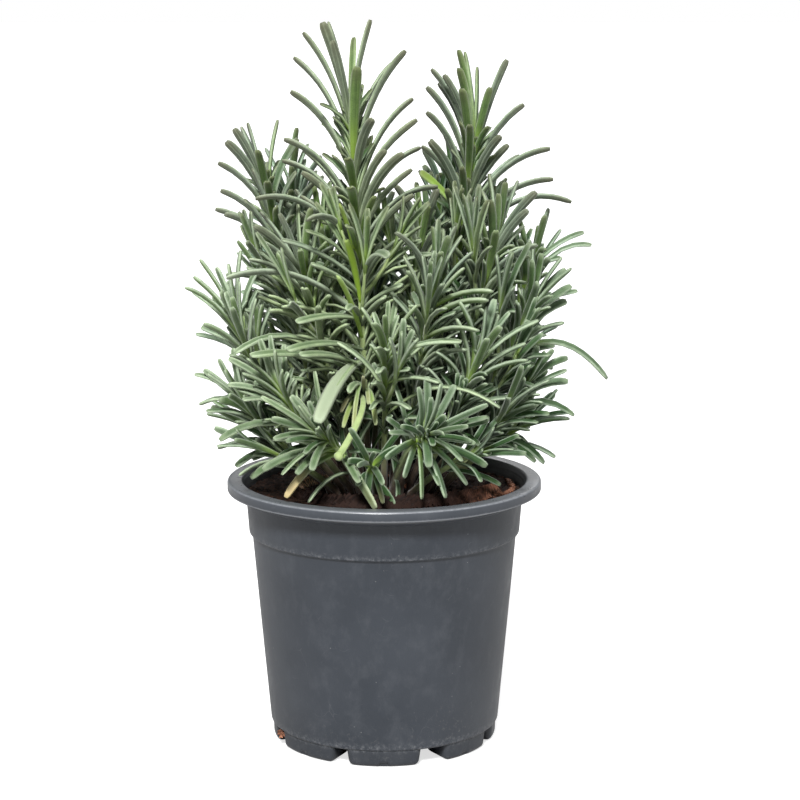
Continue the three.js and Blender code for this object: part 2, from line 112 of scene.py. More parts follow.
# Each leafy stem: name, root, tip, how far out it bends, longest leaf, first and last pair, how fast the pairs
# open, turn of the top pair
SHOOTS = (
    ("tall_centre", (-6, -11), (-13, -14, 258), 0.5, 46, (7, 12), 1, 0),
    ("tall_right", (12, 0), (37, 8, 246), 0.62, 42, (6, 10), 1, 80),
    ("tall_left", (-18, 0), (-48, 0, 230), 0.62, 37, (4, 9), 1, 10),
    ("front_right", (3, -16.5), (17, -45, 136), 0.3, 38, (0, 6), 2.4, 25),
    ("front_left", (-9, -16.5), (-24, -41, 135), 0.4, 37, (0, 5), 2, 50),
    ("left_outer", (-15, -5.5), (-59, -10, 176), 0.7, 35, (1, 6), 1.1, 85),
    ("left_low", (-21, -5.5), (-56, -18, 144), 0.6, 33, (0, 5), 1.3, 30),
    ("left_front", (-12, -11), (-40, -32, 150), 0.6, 35, (0, 5), 1.4, 60),
    ("right_outer", (18, 2), (61, 5, 199), 0.7, 35, (1, 7), 1.1, 5),
    ("right_mid", (15, -5.5), (58, -10, 180), 0.66, 36, (0, 6), 1.2, 40),
    ("right_low", (21, -5.5), (55, -15, 148), 0.6, 33, (0, 5), 1.4, 75),
    ("right_inner", (9, -5.5), (45, -12, 209), 0.64, 35, (0, 6), 1.1, 55),
    ("mid_right", (6, -11), (20, -28, 194), 0.55, 36, (0, 6), 1.1, 20),
    ("mid_left", (-9, -5.5), (-32, -16, 196), 0.6, 38, (0, 6), 1.1, 45),
    ("right_front", (12, -11), (37, -33, 164), 0.6, 35, (0, 6), 1.4, 10),
    ("mid_front", (0, -11), (1, -34, 168), 0.5, 33, (0, 6), 1.4, 70),
    ("centre", (3, 0), (15, 2, 221), 0.55, 35, (0, 5), 1, 30),
    ("left_inner", (-9, 1.5), (-25, 9, 208), 0.55, 35, (0, 5), 1, 65),
    ("back_left", (-12, 8), (-39, 22, 221), 0.6, 36, (1, 7), 1, 35),
    ("back_tall", (-4, 9), (-4, 36, 224), 0.6, 38, (0, 6), 1, 75),
    ("back_right", (8, 10.5), (28, 37, 222), 0.62, 37, (0, 6), 1.1, 18),
    ("right_back_low", (18, 8.5), (58, 26, 164), 0.66, 35, (0, 5), 1.4, 50),
    ("left_back_low", (-18, 7.5), (-57, 22, 162), 0.66, 35, (0, 5), 1.4, 20),
    ("back_outer_right", (14, 14.5), (46, 46, 184), 0.66, 36, (0, 5), 1.3, 60),
    ("back_outer_left", (-14, 14), (-42, 46, 186), 0.66, 36, (0, 5), 1.3, 80),
    ("back_low_left", (-8, 18.5), (-24, 55, 152), 0.6, 35, (0, 4), 1.5, 5),
    ("back_low_right", (6, 18), (20, 57, 150), 0.6, 35, (0, 4), 1.5, 40),
    ("front_low", (-3, -20), (-5, -44, 124), 0.4, 29, (0, 4), 2.6, 35),
    ("right_front_low", (9, -18.5), (37, -40, 128), 0.45, 31, (0, 4), 2.2, 70),
    ("right_rim", (24, 1.5), (55, 4, 130), 0.5, 33, (0, 4), 2, 15),
    ("left_rim", (-18, -12), (-47, -25, 126), 0.45, 34, (0, 4), 2.2, 55),
    ("back_rim", (-1, 23.5), (-3, 54, 127), 0.5, 33, (0, 4), 2.2, 25),
    ("left_back_rim", (-24, 2), (-54, 8, 128), 0.5, 33, (0, 4), 2.1, 0),
)

# Single leaves that stand out: how far below the stem's tip each grows, its own tip, lift and width
STANDOUT_LEAVES = {
    "tall_centre": (
        (2, (-24, -22, 296), 0.06, 1.15), (0, (-22, -4, 296), 0.06, 1), (0, (-5, -14, 297), 0.05, 1),
        (2, (-12, -2, 290), 0.02, 0.95), (8, (-32, -12, 292), 0.12, 1), (6, (-20, -27, 289), 0.05, 1),
        (15, (-36, -8, 282), 0.15, 1.1), (24, (-37, -17, 269), 0.16, 1.1), (18, (9, -16, 285), 0.13, 1.1),
        (8, (4, -2, 280), 0.12, 1), (31, (12, -11, 266), 0.17, 1), (16, (-10, -32, 279), 0.08, 1.25),
        (12, (-9, 4, 271), 0.05, 1), (24, (-4, -34, 259), 0.14, 1.15), (38, (-40, -14, 250), 0.2, 1.05),
        (45, (-41, -8, 241), 0.22, 1), (36, (-14, -38, 244), 0.18, 1.1), (43, (15, -4, 246), 0.22, 1),
        (46, (-13, -42, 233), 0.2, 1.1), (56, (-51, -24, 227), 0.3, 1), (53, (-30, -38, 220), 0.28, 1.1),
        (52, (22, -14, 231), 0.26, 1), (30, (-14, 20, 252), 0.16, 1), (45, (-8, 24, 238), 0.2, 1),
        (80, (-62, -36, 197), 0.2, 1.15), (96, (-24, -53, 143), 0.12, 1.6), (66, (2, -50, 207), 0.2, 1.1),
    ),
    "tall_right": (
        (1, (30, 3, 285), 0.05, 1.15), (0, (33, 14, 284), 0.04, 1), (1, (38, 12, 278), 0.02, 0.9),
        (6, (19, 12, 277), 0.13, 0.95), (4, (24, 4, 275), 0.08, 1), (9, (22, 18, 271), 0.12, 0.95),
        (13, (17, 6, 270), 0.14, 1.05), (6, (30, -6, 278), 0.07, 1.05), (16, (31, -12, 270), 0.1, 1.1),
        (19, (17, 3, 260), 0.16, 1.05), (29, (15, 6, 246), 0.2, 1), (8, (50, 8, 281), 0.1, 1.05),
        (4, (43, 1, 270), 0.06, 1), (16, (57, 5, 263), 0.16, 1.1), (30, (68, 6, 245), 0.2, 1.05),
        (38, (69, 0, 233), 0.2, 1), (46, (77, 6, 223), 0.34, 1), (22, (34, -18, 256), 0.14, 1),
        (24, (47, -8, 251), 0.14, 1), (20, (36, 34, 258), 0.16, 1),
    ),
    "tall_left": (
        (3, (-60, -8, 254), 0.06, 1), (2, (-58, 6, 254), 0.05, 1), (0, (-55, 1, 256), 0.04, 0.9),
        (8, (-63, -11, 249), 0.1, 1.15), (14, (-67, -4, 240), 0.14, 1.05), (24, (-66, -6, 229), 0.16, 1.05),
        (4, (-43, 4, 257), 0.04, 0.95), (8, (-50, -18, 246), 0.07, 1), (7, (-43, 12, 240), 0.06, 0.95),
        (32, (-64, -12, 220), 0.18, 1), (18, (-46, -22, 234), 0.12, 1),
    ),
    "back_left": ((1, (-36, 20, 253), 0.05, 1), (8, (-26, 24, 241), 0.14, 0.95), (9, (-27, 12, 232), 0.12, 0.95)),
    "left_outer": (
        (1, (-74, -12, 202), 0.06, 0.95), (0, (-58, -6, 205), 0.03, 1), (12, (-80, -16, 191), 0.18, 0.9),
        (14, (-78, -5, 188), 0.12, 0.95), (22, (-73, -14, 176), 0.14, 0.95), (4, (-68, -6, 198), 0.07, 1),
    ),
    "left_low": ((6, (-77, -12, 155), 0.2, 0.9), (8, (-75, -15, 143), 0.34, 1), (11, (-66, -27, 147), 0.16, 1.1)),
    "left_front": ((8, (-62, -32, 154), 0.14, 1), (20, (-66, -30, 131), 0.25, 1)),
    "mid_left": ((30, (-59, -34, 167), 0.2, 1.15),),
    "right_outer": (
        (3, (82, 6, 211), 0.1, 0.95), (12, (85, 2, 206), 0.3, 0.95), (4, (72, 1, 201), 0.1, 1.05),
        (0, (63, 3, 214), 0.03, 1),
    ),
    "right_mid": ((6, (74, -5, 197), 0.12, 1), (14, (75, 3, 183), 0.14, 1.1), (20, (92, -2, 151), 0.42, 1.05)),
    "right_low": ((4, (75, -8, 161), 0.2, 0.9), (10, (75, -12, 152), 0.2, 1.05), (14, (78, -8, 137), 0.36, 0.95)),
    "mid_front": ((30, (46, -46, 147), 0.3, 1.1),),
    "front_left": ((14, (-4, -44, 108), 0.16, 1.25),),
    "right_rim": ((6, (62, 6, 118), 0.4, 0.95),),
}

# Finer single leaves at the front: how far below the tip each grows, its own tip, lift, width, dryness and
# freshness
FRONT_LEAVES = {
    "tall_centre": (
        (80, (-34, -42, 180.6), 0.0, 1.25, 0, 0), (92, (-37.5, -45, 170), 0.02, 1.2, 0, 0),
        (99, (-32.3, -48, 168.6), 0.0, 1.2, 0, 0), (102, (-52, -46, 168), 0.04, 1.3, 0, 0),
        (104, (10.4, -40, 166.5), 0.02, 1.25, 0, 0), (82, (0.6, -36, 189.7), 0.0, 1.2, 0, 0),
        (76, (7.3, -34, 194.2), 0.0, 1.2, 0, 0), (60, (-17, -34, 226), 0.02, 0.9, 0, 0.9),
        (74, (-14.5, -33, 212), 0.02, 0.85, 0, 1), (88, (-18, -35, 198), 0.02, 0.9, 0, 0.7),
        (112, (-14, -30, 150), 0.5, 0.65, 0.4, 0), (116, (-6, -32, 146), 0.6, 0.65, 0.3, 0.1),
        (118, (-17, -33, 143), 0.5, 0.6, 0.5, 0), (108, (-8, -33, 158), -0.4, 0.6, 0.3, 0),
        (110, (-3, -40, 139), 0.35, 0.7, 0.2, 0.3), (113, (-16, -40, 138), 0.3, 0.65, 0.2, 0.3),
        (109, (-12, -42, 136), 0.5, 0.6, 0.3, 0.2),
        (70, (-28, -38, 203), 0.0, 1.1, 0, 0.1), (64, (-40, -34, 212), 0.03, 1.1, 0, 0),
        (96, (-25.5, -56, 143), 0.12, 1.7, 0, -1),
    ),
    "mid_right": (
        (10, (42.6, -44, 193), 0.06, 1.3, 0, 0), (14, (40.6, -46, 189.8), 0.05, 1.3, 0, 0),
        (22, (37, -47, 178), 0.06, 1.2, 0, 0),
    ),
    "mid_front": (
        (3, (30.6, -46, 173.4), 0.07, 1.3, 0, 0), (26, (10.4, -52, 148), 0.05, 1.25, 0, 0),
        (14, (22, -50, 158), 0.06, 1.2, 0, 0), (20, (-4, -52, 158), 0.05, 1.2, 0, 0),
    ),
    "front_right": (
        (8, (15, -54, 112.2), 0.1, 1.0, 0, 0.1), (6, (24.4, -55, 113), 0.12, 1.35, 0, 0),
        (6, (33, -49, 116.9), 0.14, 1.3, 0, 0), (8, (8, -54, 121), 0.12, 1.25, 0, 0),
        (7, (0.7, -52, 128.2), 0.08, 1.25, 0, 0), (8, (41, -42, 123), 0.1, 1.25, 0, 0),
        (3, (17.7, -58, 126), 0.2, 1.35, 0, 0), (2, (41.6, -42, 141.8), 0.04, 1.3, 0, 0),
        (1, (28, -42, 156), 0.0, 1.2, 0, 0), (1, (17, -46, 160), 0.0, 1.2, 0, 0),
        (2, (24, -55, 146), 0.05, 1.2, 0, 0),
    ),
    "front_left": (
        (14, (-2.8, -57, 109.2), 0.08, 1.45, 0.15, 0), (15, (-38.5, -50, 112), 0.18, 1.2, 1, 0),
        (12, (-48, -40, 121), 0.14, 1.25, 0, 0), (14, (-53.6, -30, 115.5), 0.2, 1.2, 0, 0),
        (10, (-34, -52, 122), 0.12, 1.2, 0, 0), (4, (-27.7, -57, 124.6), 0.12, 1.25, 0, 0),
        (2, (-44, -46, 143), 0.05, 1.2, 0, 0), (1, (-36, -50, 153), 0.02, 1.2, 0, 0),
    ),
    "front_low": (
        (2, (-6.4, -50, 113), 0.2, 1.3, 0, 0), (3, (0, -51, 110), 0.12, 0.9, 0.2, 0),
        (1, (-14, -50, 127), 0.1, 1.15, 0, 0), (1, (6, -48, 132), 0.1, 1.15, 0, 0),
    ),
    "right_low": ((30, (66, -8, 117), 0.4, 1.2, 0, 0), (34, (62, -15, 119), 0.4, 1.1, 0, 0)),
    "tall_right": ((30, (14.5, 1, 236), 0.02, 1.25, 0, 0.6),),
}

# How much of its solid's height each shoot that has stayed back keeps
HEIGHT_KEPT = {"back_tall": 0.84, "centre": 0.9}

# How far the small leaves reach at each height: left, right, and front or back
FOLIAGE_REACH = (
    (100, -50, 52, 56), (125, -58, 60, 62), (150, -64, 66, 64), (175, -66, 68, 62), (200, -64, 68, 58),
    (225, -58, 62, 52), (245, -56, 56, 44), (262, -56, 52, 28), (285, -34, 46, 18), (300, -20, 32, 10),
)
LOWEST_SMALL_LEAF = 119
LOWEST_IN_FRONT = 127
FRONT_STARTS = -24

# How yellow-green, or how blue-grey below zero, the leaves of each shoot are
SHOOT_HUES = {
    "tall_centre": 0.32, "mid_left": 0.25, "tall_right": 0.15, "tall_left": 0.05, "left_inner": 0.2,
    "centre": 0.15, "front_left": 0.12, "left_front": 0.12, "mid_front": 0.0, "front_right": -0.35,
    "right_front": -0.35, "right_front_low": -0.4, "right_low": -0.3, "right_mid": -0.25,
    "right_rim": -0.35, "mid_right": -0.1, "right_inner": 0.0, "front_low": -0.2, "left_low": -0.1,
    "left_rim": -0.2,
}
OTHER_HUE = -0.2

# What nothing small stands in front of, as a line and half its width: the wide pale leaf, the stem that shows
# behind it and the cut stub
OPEN_VIEWS = (
    ((-8, -14, 166), (-25.5, -56, 143), 4.5),
    ((-9, -14, 196), (-9, -14, 150), 3),
    ((-10, -36, 145), (-17.4, -48, 128), 4),
)

# The ways to turn, open and shorten a leaf that would cross another one
WAYS_CLEAR = (
    (0, 0, 1), (14, 0, 1), (-14, 0, 1), (0, -9, 1), (0, 9, 1), (24, -8, 1), (-24, -8, 1), (24, 8, 1),
    (-24, 8, 1), (36, 0, 0.92), (-36, 0, 0.92), (0, -18, 0.92), (0, 16, 0.92), (30, -16, 0.85),
    (-30, -16, 0.85), (44, 12, 0.85), (-44, 12, 0.85), (0, -24, 0.75), (20, 20, 0.75), (-20, 20, 0.75),
    (0, 0, 0.7), (52, -10, 0.7), (-52, -10, 0.7), (14, -26, 0.62), (-14, -26, 0.62), (0, 0, 0.55),
)


def draw(*seeds):
    """A number from 0 to 1 that depends only on its seeds."""
    modulus = 2147483647
    factor = 16807
    spread = 7919
    state = 20011
    for seed in seeds:
        state = ((state + seed * spread + 1) * factor) % modulus
    for _ in range(3):
        state = (state * factor) % modulus
    return state / modulus


def swing(*seeds):
    """A number from -1 to 1 that depends only on its seeds."""
    return 2 * draw(*seeds) - 1


def mix(a, b, share):
    return a + (b - a) * share


def ramp(value, start, full):
    """A share from 0 at the start to 1 at the full value."""
    return min(1, max(0, (value - start) / (full - start)))


def unit(v):
    return v / np.linalg.norm(v)


class Bend:
    """A quadratic curve through space with points at shares of its own length."""

    def __init__(self, start, middle, end):
        self.start, self.middle, self.end = (np.asarray(p, float) for p in (start, middle, end))
        marks = self.points(np.linspace(0, 1, CURVE_MARKS))
        self.travelled = np.concatenate([[0], np.cumsum(np.linalg.norm(np.diff(marks, axis=0), axis=1))])
        self.length = self.travelled[-1]

    def points(self, t):
        t = np.asarray(t, float)[:, None]
        return (1 - t) ** 2 * self.start + 2 * (1 - t) * t * self.middle + t**2 * self.end

    def directions(self, t):
        t = np.asarray(t, float)[:, None]
        way = (1 - t) * (self.middle - self.start) + t * (self.end - self.middle)
        return way / np.linalg.norm(way, axis=1)[:, None]

    def at_shares(self, shares):
        return np.interp(np.asarray(shares) * self.length, self.travelled, np.linspace(0, 1, CURVE_MARKS))


def sideways(along, turn):
    """The direction square to a stem at the given turn about it."""
    east = unit(np.array([1.0, 0, 0]) - along * along[0])
    return east * math.cos(turn) + np.cross(along, east) * math.sin(turn)


class Shoot:
    """A leafy stem, or a twig that grows from one."""

    def __init__(self, index, name, stem, leaf, pairs, opens, turn, halves=(STEM_ROOT_HALF, STEM_TIP_HALF)):
        self.index, self.name, self.stem, self.leaf, self.pairs = index, name, stem, leaf, pairs
        self.opens, self.turn, self.halves = opens, turn, halves
        self.leaves = []
        self.twigs = []

    def at(self, below):
        """The place and direction of the stem so far below its tip."""
        t = self.stem.at_shares([max(0, 1 - below / self.stem.length)])
        return self.stem.points(t)[0], self.stem.directions(t)[0]


class Leaf:
    """A leaf along its curve, with the points that keep others clear of it."""

    def __init__(self, way, along, across, width, age=0.5, fine=True):
        self.way, self.along, self.across, self.width, self.age, self.fine = way, along, across, width, age, fine
        count = math.ceil(way.length / SAMPLE_STEP)
        centres = way.points(np.arange(1, count + 1) / count)
        self.samples = np.concatenate(
            [centres[:, None] + side * width * across for side in SAMPLE_SIDES], axis=1
        ).reshape(-1, 3)
        self.dry = 0.0
        self.fresh = 0.0
        self.hue = 0.0


def main_stem(root, tip, out):
    """A stem that rises from the soil and bends out towards its tip."""
    collar = np.array([*root, SOIL_LEVEL + STEM_RISE], float)
    bend = mix(collar, np.array(tip, float), out)
    bend[2] = mix(collar[2], tip[2], 1 - BEND_DROP * out)
    return Bend(collar, bend, tip)


def opening(angles, pairs):
    top, step, most = angles
    return min(most, top + step * pairs)


def leaf_of_pair(shoot, pair, twin, way_clear):
    """One leaf of a pair, a quarter turn from the pair above."""
    more_turn, more_open, shorter = way_clear
    below = PAIR_GAP * pair * (1 + PAIR_STRETCH * pair) + ROOT_STAGGER * (1 + twin)
    place, along = shoot.at(below)

    def differ(what, most):
        return most * swing(shoot.index, pair, twin, what)

    turn = shoot.turn + 90 * pair + 180 * twin + differ(1, UNEVEN_TURN) + more_turn
    outward = sideways(along, math.radians(turn))
    opened = pair * shoot.opens
    start = math.radians(opening(BASE_OPENING, opened) * (1 + differ(2, UNEVEN_ANGLE)) + more_open / 2)
    end = math.radians(opening(TIP_OPENING, opened) * (1 + differ(3, UNEVEN_ANGLE)) + more_open)
    age = pair / max(4, shoot.pairs[1])
    grown = YOUNG_SHARES[pair] if pair < len(YOUNG_SHARES) else mix(YOUNG_SHARE, OLD_SHARE, age)
    length = shoot.leaf * grown * (1 + differ(4, UNEVEN_LENGTH)) * shorter
    last = along * math.cos(end) + outward * math.sin(end)
    last[2] -= (SAG + differ(5, UNEVEN_SAG)) * (1 - abs(last[2]))
    bend = place + (along * math.cos(start) + outward * math.sin(start)) * length / 2
    tip = bend + unit(last) * length / 2
    width = LEAF_WIDTH * (1 + differ(6, UNEVEN_WIDTH)) * (TOP_PAIR_WIDTH if pair == 0 else 1)
    return Leaf(Bend(place, bend, tip), along, np.cross(along, outward), width, age)


def standout_leaf(shoot, order, row):
    """A single leaf with its own tip."""
    below, end, lift, wide = row
    place, along = shoot.at(below + ROOT_STAGGER * (1 + 0.5 * (order % 4)))
    tip = np.array(end, float)
    bend = mix(place, tip, 0.5)
    bend[2] += lift * np.linalg.norm(tip - place)
    across = unit(np.cross(along, bend - place))
    return Leaf(Bend(place, bend, tip), along, across, LEAF_WIDTH * wide, below / STANDOUT_AGING)


def front_leaf(shoot, order, row):
    *place, dry, fresh = row
    leaf = standout_leaf(shoot, order, place)
    leaf.dry, leaf.fresh = dry, fresh
    return leaf


def small_leaf(shoot, below, turn, opens, length, width, seed):
    """A short leaf from the axil of a bigger one."""
    place, along = shoot.at(below)
    outward = sideways(along, math.radians(turn))
    start, end = (math.radians(opens * part) for part in SMALL_OPENINGS)
    bend = place + (along * math.cos(start) + outward * math.sin(start)) * length / 2
    last = along * math.cos(end) + outward * math.sin(end)
    last[2] -= SMALL_SAG * (1 - abs(last[2])) * (1 + swing(seed, 3))
    tip = bend + unit(last) * length / 2
    return Leaf(Bend(place, bend, tip), along, np.cross(along, outward), width, 0.3, fine=False)


class Thicket:
    """Everything grown so far, so that each new leaf can be kept clear of it."""

    def __init__(self):
        self.centres = np.zeros((THICKET_ROOM, 3))
        self.reaches = np.zeros(THICKET_ROOM)
        self.owners = np.full(THICKET_ROOM, -1)
        self.samples = []

    def add(self, owner, samples):
        i = len(self.samples)
        self.centres[i], self.reaches[i] = self.ball(samples)
        self.owners[i] = owner
        self.samples.append(samples)

    @staticmethod
    def ball(samples):
        centre = (samples.min(0) + samples.max(0)) / 2
        return centre, np.linalg.norm(samples - centre, axis=1).max()

    def meets(self, samples, clearance, owner, own=False, skipped=0):
        """Whether the samples come too near to anything of other owners, or of their own owner."""
        centre, reach = self.ball(samples)
        count = len(self.samples)
        near = np.linalg.norm(self.centres[:count] - centre, axis=1) < self.reaches[:count] + reach + clearance
        near &= (self.owners[:count] == owner) == own
        for i in np.flatnonzero(near):
            apart = self.samples[i][skipped:, None] - samples[None, skipped:]
            if (np.einsum("ijk,ijk->ij", apart, apart) < clearance**2).any():
                return True
        return False


def meets_pot(samples):
    across = np.hypot(samples[:, 0], samples[:, 1])
    over_soil = (across < RIM_RADIUS - RIM_WIDTH - POT_CLEARANCE) & (
        samples[:, 2] < SOIL_LEVEL + SOIL_RELIEF + POT_CLEARANCE
    )
    over_rim = (across >= RIM_RADIUS - RIM_WIDTH - POT_CLEARANCE) & (across < RIM_RADIUS + POT_CLEARANCE)
    return bool((over_soil | (over_rim & (samples[:, 2] < POT_HEIGHT + POT_CLEARANCE))).any())


def settle(leaf, shoot, leaves):
    """Gives the leaf to its stem, so that later leaves stay clear of it."""
    leaves.add(shoot.index, leaf.samples)
    shoot.leaves.append(leaf)


def grow():
    """The leaves of the solids, grown by the same rule."""
    shoots = []
    for index, (name, root, tip, out, leaf, pairs, opens, turn) in enumerate(SHOOTS):
        shoots.append(Shoot(index, name, main_stem(root, tip, out), leaf, pairs, opens, turn))
    stems, leaves = Thicket(), Thicket()
    for shoot in shoots:
        spaced = np.linspace(0, 1, math.ceil(shoot.stem.length / SAMPLE_STEP) + 1)
        stems.add(shoot.index, shoot.stem.points(shoot.stem.at_shares(spaced)))

    def is_clear(shoot, leaf):
        if meets_pot(leaf.samples) or stems.meets(leaf.samples, LEAF_CLEARANCE, shoot.index):
            return False
        return not leaves.meets(leaf.samples, LEAF_CLEARANCE, shoot.index)

    for shoot in shoots:
        rows = STANDOUT_LEAVES.get(shoot.name, ())
        grown = [standout_leaf(shoot, order, row) for order, row in enumerate(rows)]
        grown = [leaf for leaf in grown if is_clear(shoot, leaf)]
        for leaf in grown:
            settle(leaf, shoot, leaves)
    for shoot in shoots:
        for pair in range(*shoot.pairs):
            for twin in (0, 1):
                fallback = None
                for way_clear in WAYS_CLEAR:
                    leaf = leaf_of_pair(shoot, pair, twin, way_clear)
                    if not is_clear(shoot, leaf):
                        continue
                    fallback = fallback or leaf
                    if not leaves.meets(leaf.samples, OWN_CLEARANCE, shoot.index, True, OWN_ROOT_SAMPLES):
                        fallback = leaf
                        break
                if fallback:
                    settle(fallback, shoot, leaves)
    return shoots, stems, leaves


# Small leaves, which fill the plant between the leaves of the solids
SMALL_CLEARANCE = 1.25
SMALL_ROOT_SAMPLES = 4
SMALL_OPENINGS = (0.6, 1.5)
SMALL_SAG = 0.12

# Where the twigs of a stem start below its tip, and the tall stems on which they start lower
TWIG_START = 26
LOWER_TWIGS = {"tall_centre": 66, "tall_right": 52, "tall_left": 42}

# Long leaves between the pairs
NODE_START = 8
NODE_PITCH = 5.2
NODE_BARE_ROOT = 10
NODE_TURN = 68
NODE_TRIES = 6
NODE_OPENINGS = (14, 28)
NODE_OPENING_GAIN = 0.16
NODE_LENGTHS = (0.82, 1.08)
NODE_WIDTHS = (0.85, 1.05)
NODE_AGING = 80

# Short leaves in the axils
AXIL_LEAVES = 3
AXIL_PAIRS = 20
AXIL_BARE_ROOT = 6
AXIL_LENGTHS = (0.42, 0.78)
AXIL_TOP_LENGTH = 0.5
AXIL_HIGH_LENGTH = 0.68
AXIL_HIGH_END = 14
AXIL_LOW_EXTRA = 0.2
AXIL_WIDTHS = (0.58, 0.8)
AXIL_OPENINGS = (7, 26)
AXIL_OPENING_GAIN = 2.2
AXIL_MOST_OPEN = 62
AXIL_FAN = 60
AXIL_UNEVEN_TURN = 42
AXIL_TRIES = 5

# Twigs
TWIG_PITCH = 7
TWIG_SIDES = 7
TWIG_PAIRS = 5
TWIG_PAIR_GAP = 4.6
TWIG_BARE_ROOT = 8
TWIG_FEWEST_LEAVES = 3
TWIG_REACHES = (14, 36)
TWIG_LEANS = (20, 48)
TWIG_LEAVES = (26, 40)
TWIG_ONWARD, TWIG_OUTWARD, TWIG_UPWARD = 0.6, 0.4, 0.5
TWIG_HALVES = (0.75, 0.6)
TWIG_PAIR_LENGTHS = (0.6, 0.85, 1.0, 0.95, 0.85)
TWIG_WIDTHS = (0.64, 0.84)


def within_reach(samples):
    """Whether small leaves keep inside the outline of the foliage."""
    reach = np.array(FOLIAGE_REACH)
    left, right, deep = (np.interp(samples[:, 2], reach[:, 0], reach[:, i]) for i in (1, 2, 3))
    x, y = samples[:, 0], samples[:, 1]
    return bool(((x > left) & (x < right) & (np.abs(y) < deep) & (samples[:, 2] > LOWEST_SMALL_LEAF)).all())


def hides(samples):
    """Whether a small leaf stands between the camera and something that shows."""
    towards = unit(back_off)
    for start, end, half in OPEN_VIEWS:
        start, end = np.array(start, float), np.array(end, float)
        along = unit(end - start)
        side = unit(np.cross(along, towards))
        square = np.cross(side, along)
        apart = samples - start
        ahead = apart @ square
        slant = ahead / (towards @ square)
        share = (apart - slant[:, None] * towards) @ along / np.linalg.norm(end - start)
        if ((np.abs(apart @ side) < half) & (slant > 1) & (share > 0) & (share < 1)).any():
            return True
    return False


def has_room(leaf, owner, stems, leaves):
    """Whether a small leaf stands clear of everything, inside the foliage and out of the open views."""
    if hides(leaf.samples) or (leaf.way.end[1] < FRONT_STARTS and leaf.samples[:, 2].min() < LOWEST_IN_FRONT):
        return False
    if not within_reach(leaf.samples) or stems.meets(leaf.samples, SMALL_CLEARANCE, owner):
        return False
    if leaves.meets(leaf.samples, SMALL_CLEARANCE, owner):
        return False
    return not leaves.meets(leaf.samples, SMALL_CLEARANCE, owner, True, SMALL_ROOT_SAMPLES)


def add_front_leaves(shoots, leaves):
    for shoot in shoots:
        for order, row in enumerate(FRONT_LEAVES.get(shoot.name, ())):
            settle(front_leaf(shoot, order, row), shoot, leaves)


def fill_nodes(shoots, stems, leaves):
    """Long leaves down each stem, between the pairs of the solids."""
    for shoot in shoots:
        first = LOWER_TWIGS.get(shoot.name, NODE_START + TWIG_START) - TWIG_START
        for node in range(int((shoot.stem.length - NODE_BARE_ROOT - first) / NODE_PITCH)):
            below = first + NODE_PITCH * node
            for twin in (0, 1):
                seed = (shoot.index, node, twin, 80)
                for attempt in range(NODE_TRIES):
                    turn = shoot.turn + NODE_TURN * node + 180 * twin + 30 * attempt * swing(*seed, attempt)
                    opens = mix(*NODE_OPENINGS, draw(*seed, 9)) + NODE_OPENING_GAIN * below + 3 * attempt
                    length = shoot.leaf * mix(*NODE_LENGTHS, draw(*seed, 10))
                    width = LEAF_WIDTH * mix(*NODE_WIDTHS, draw(*seed, 11))
                    leaf = small_leaf(shoot, below, turn, opens, length, width, shoot.index)
                    if has_room(leaf, shoot.index, stems, leaves):
                        leaf.fine = True
                        leaf.age = min(1, below / NODE_AGING)
                        settle(leaf, shoot, leaves)
                        break


def axil_length(shoot, pair, below, order, seed):
    """How long a leaf in an axil grows: short at the very top and in the head of a tall stem."""
    is_low = pair >= shoot.pairs[1]
    share = mix(*AXIL_LENGTHS, draw(*seed, 11)) * (AXIL_TOP_LENGTH if pair == 0 else 1)
    share += AXIL_LOW_EXTRA * is_low * (order == 1)
    if below < LOWER_TWIGS.get(shoot.name, 0) - AXIL_HIGH_END:
        share *= AXIL_HIGH_LENGTH
    return shoot.leaf * share


def fill_axil(shoot, pair, below, twin, order, stems, leaves):
    """One short leaf, turned until it has room, if it finds any."""
    seed = (shoot.index, pair, twin, order)
    length = axil_length(shoot, pair, below, order, seed)
    width = LEAF_WIDTH * mix(*AXIL_WIDTHS, draw(*seed, 12))
    turn = shoot.turn + 90 * pair + 180 * twin + AXIL_UNEVEN_TURN * swing(*seed, 13) + AXIL_FAN * (order - 1)
    opens = mix(*AXIL_OPENINGS, draw(*seed, 14)) + AXIL_OPENING_GAIN * pair * shoot.opens
    for attempt in range(AXIL_TRIES):
        lean = 25 * swing(*seed, 20 + attempt) * attempt
        opened = min(opens + 4 * attempt, AXIL_MOST_OPEN)
        leaf = small_leaf(shoot, below, turn + lean, opened, length, width, shoot.index)
        if has_room(leaf, shoot.index, stems, leaves):
            leaf.age = min(0.8, pair / 12)
            settle(leaf, shoot, leaves)
            return


def fill_axils(shoots, stems, leaves):
    """Short leaves in the axils, down each stem and round its tip."""
    for shoot in shoots:
        for pair in range(AXIL_PAIRS):
            below = PAIR_GAP * pair * (1 + 0.5 * PAIR_STRETCH * pair) + 2
            if below > shoot.stem.length - AXIL_BARE_ROOT:
                break
            for twin in (0, 1):
                for order in range(AXIL_LEAVES):
                    fill_axil(shoot, pair, below, twin, order, stems, leaves)


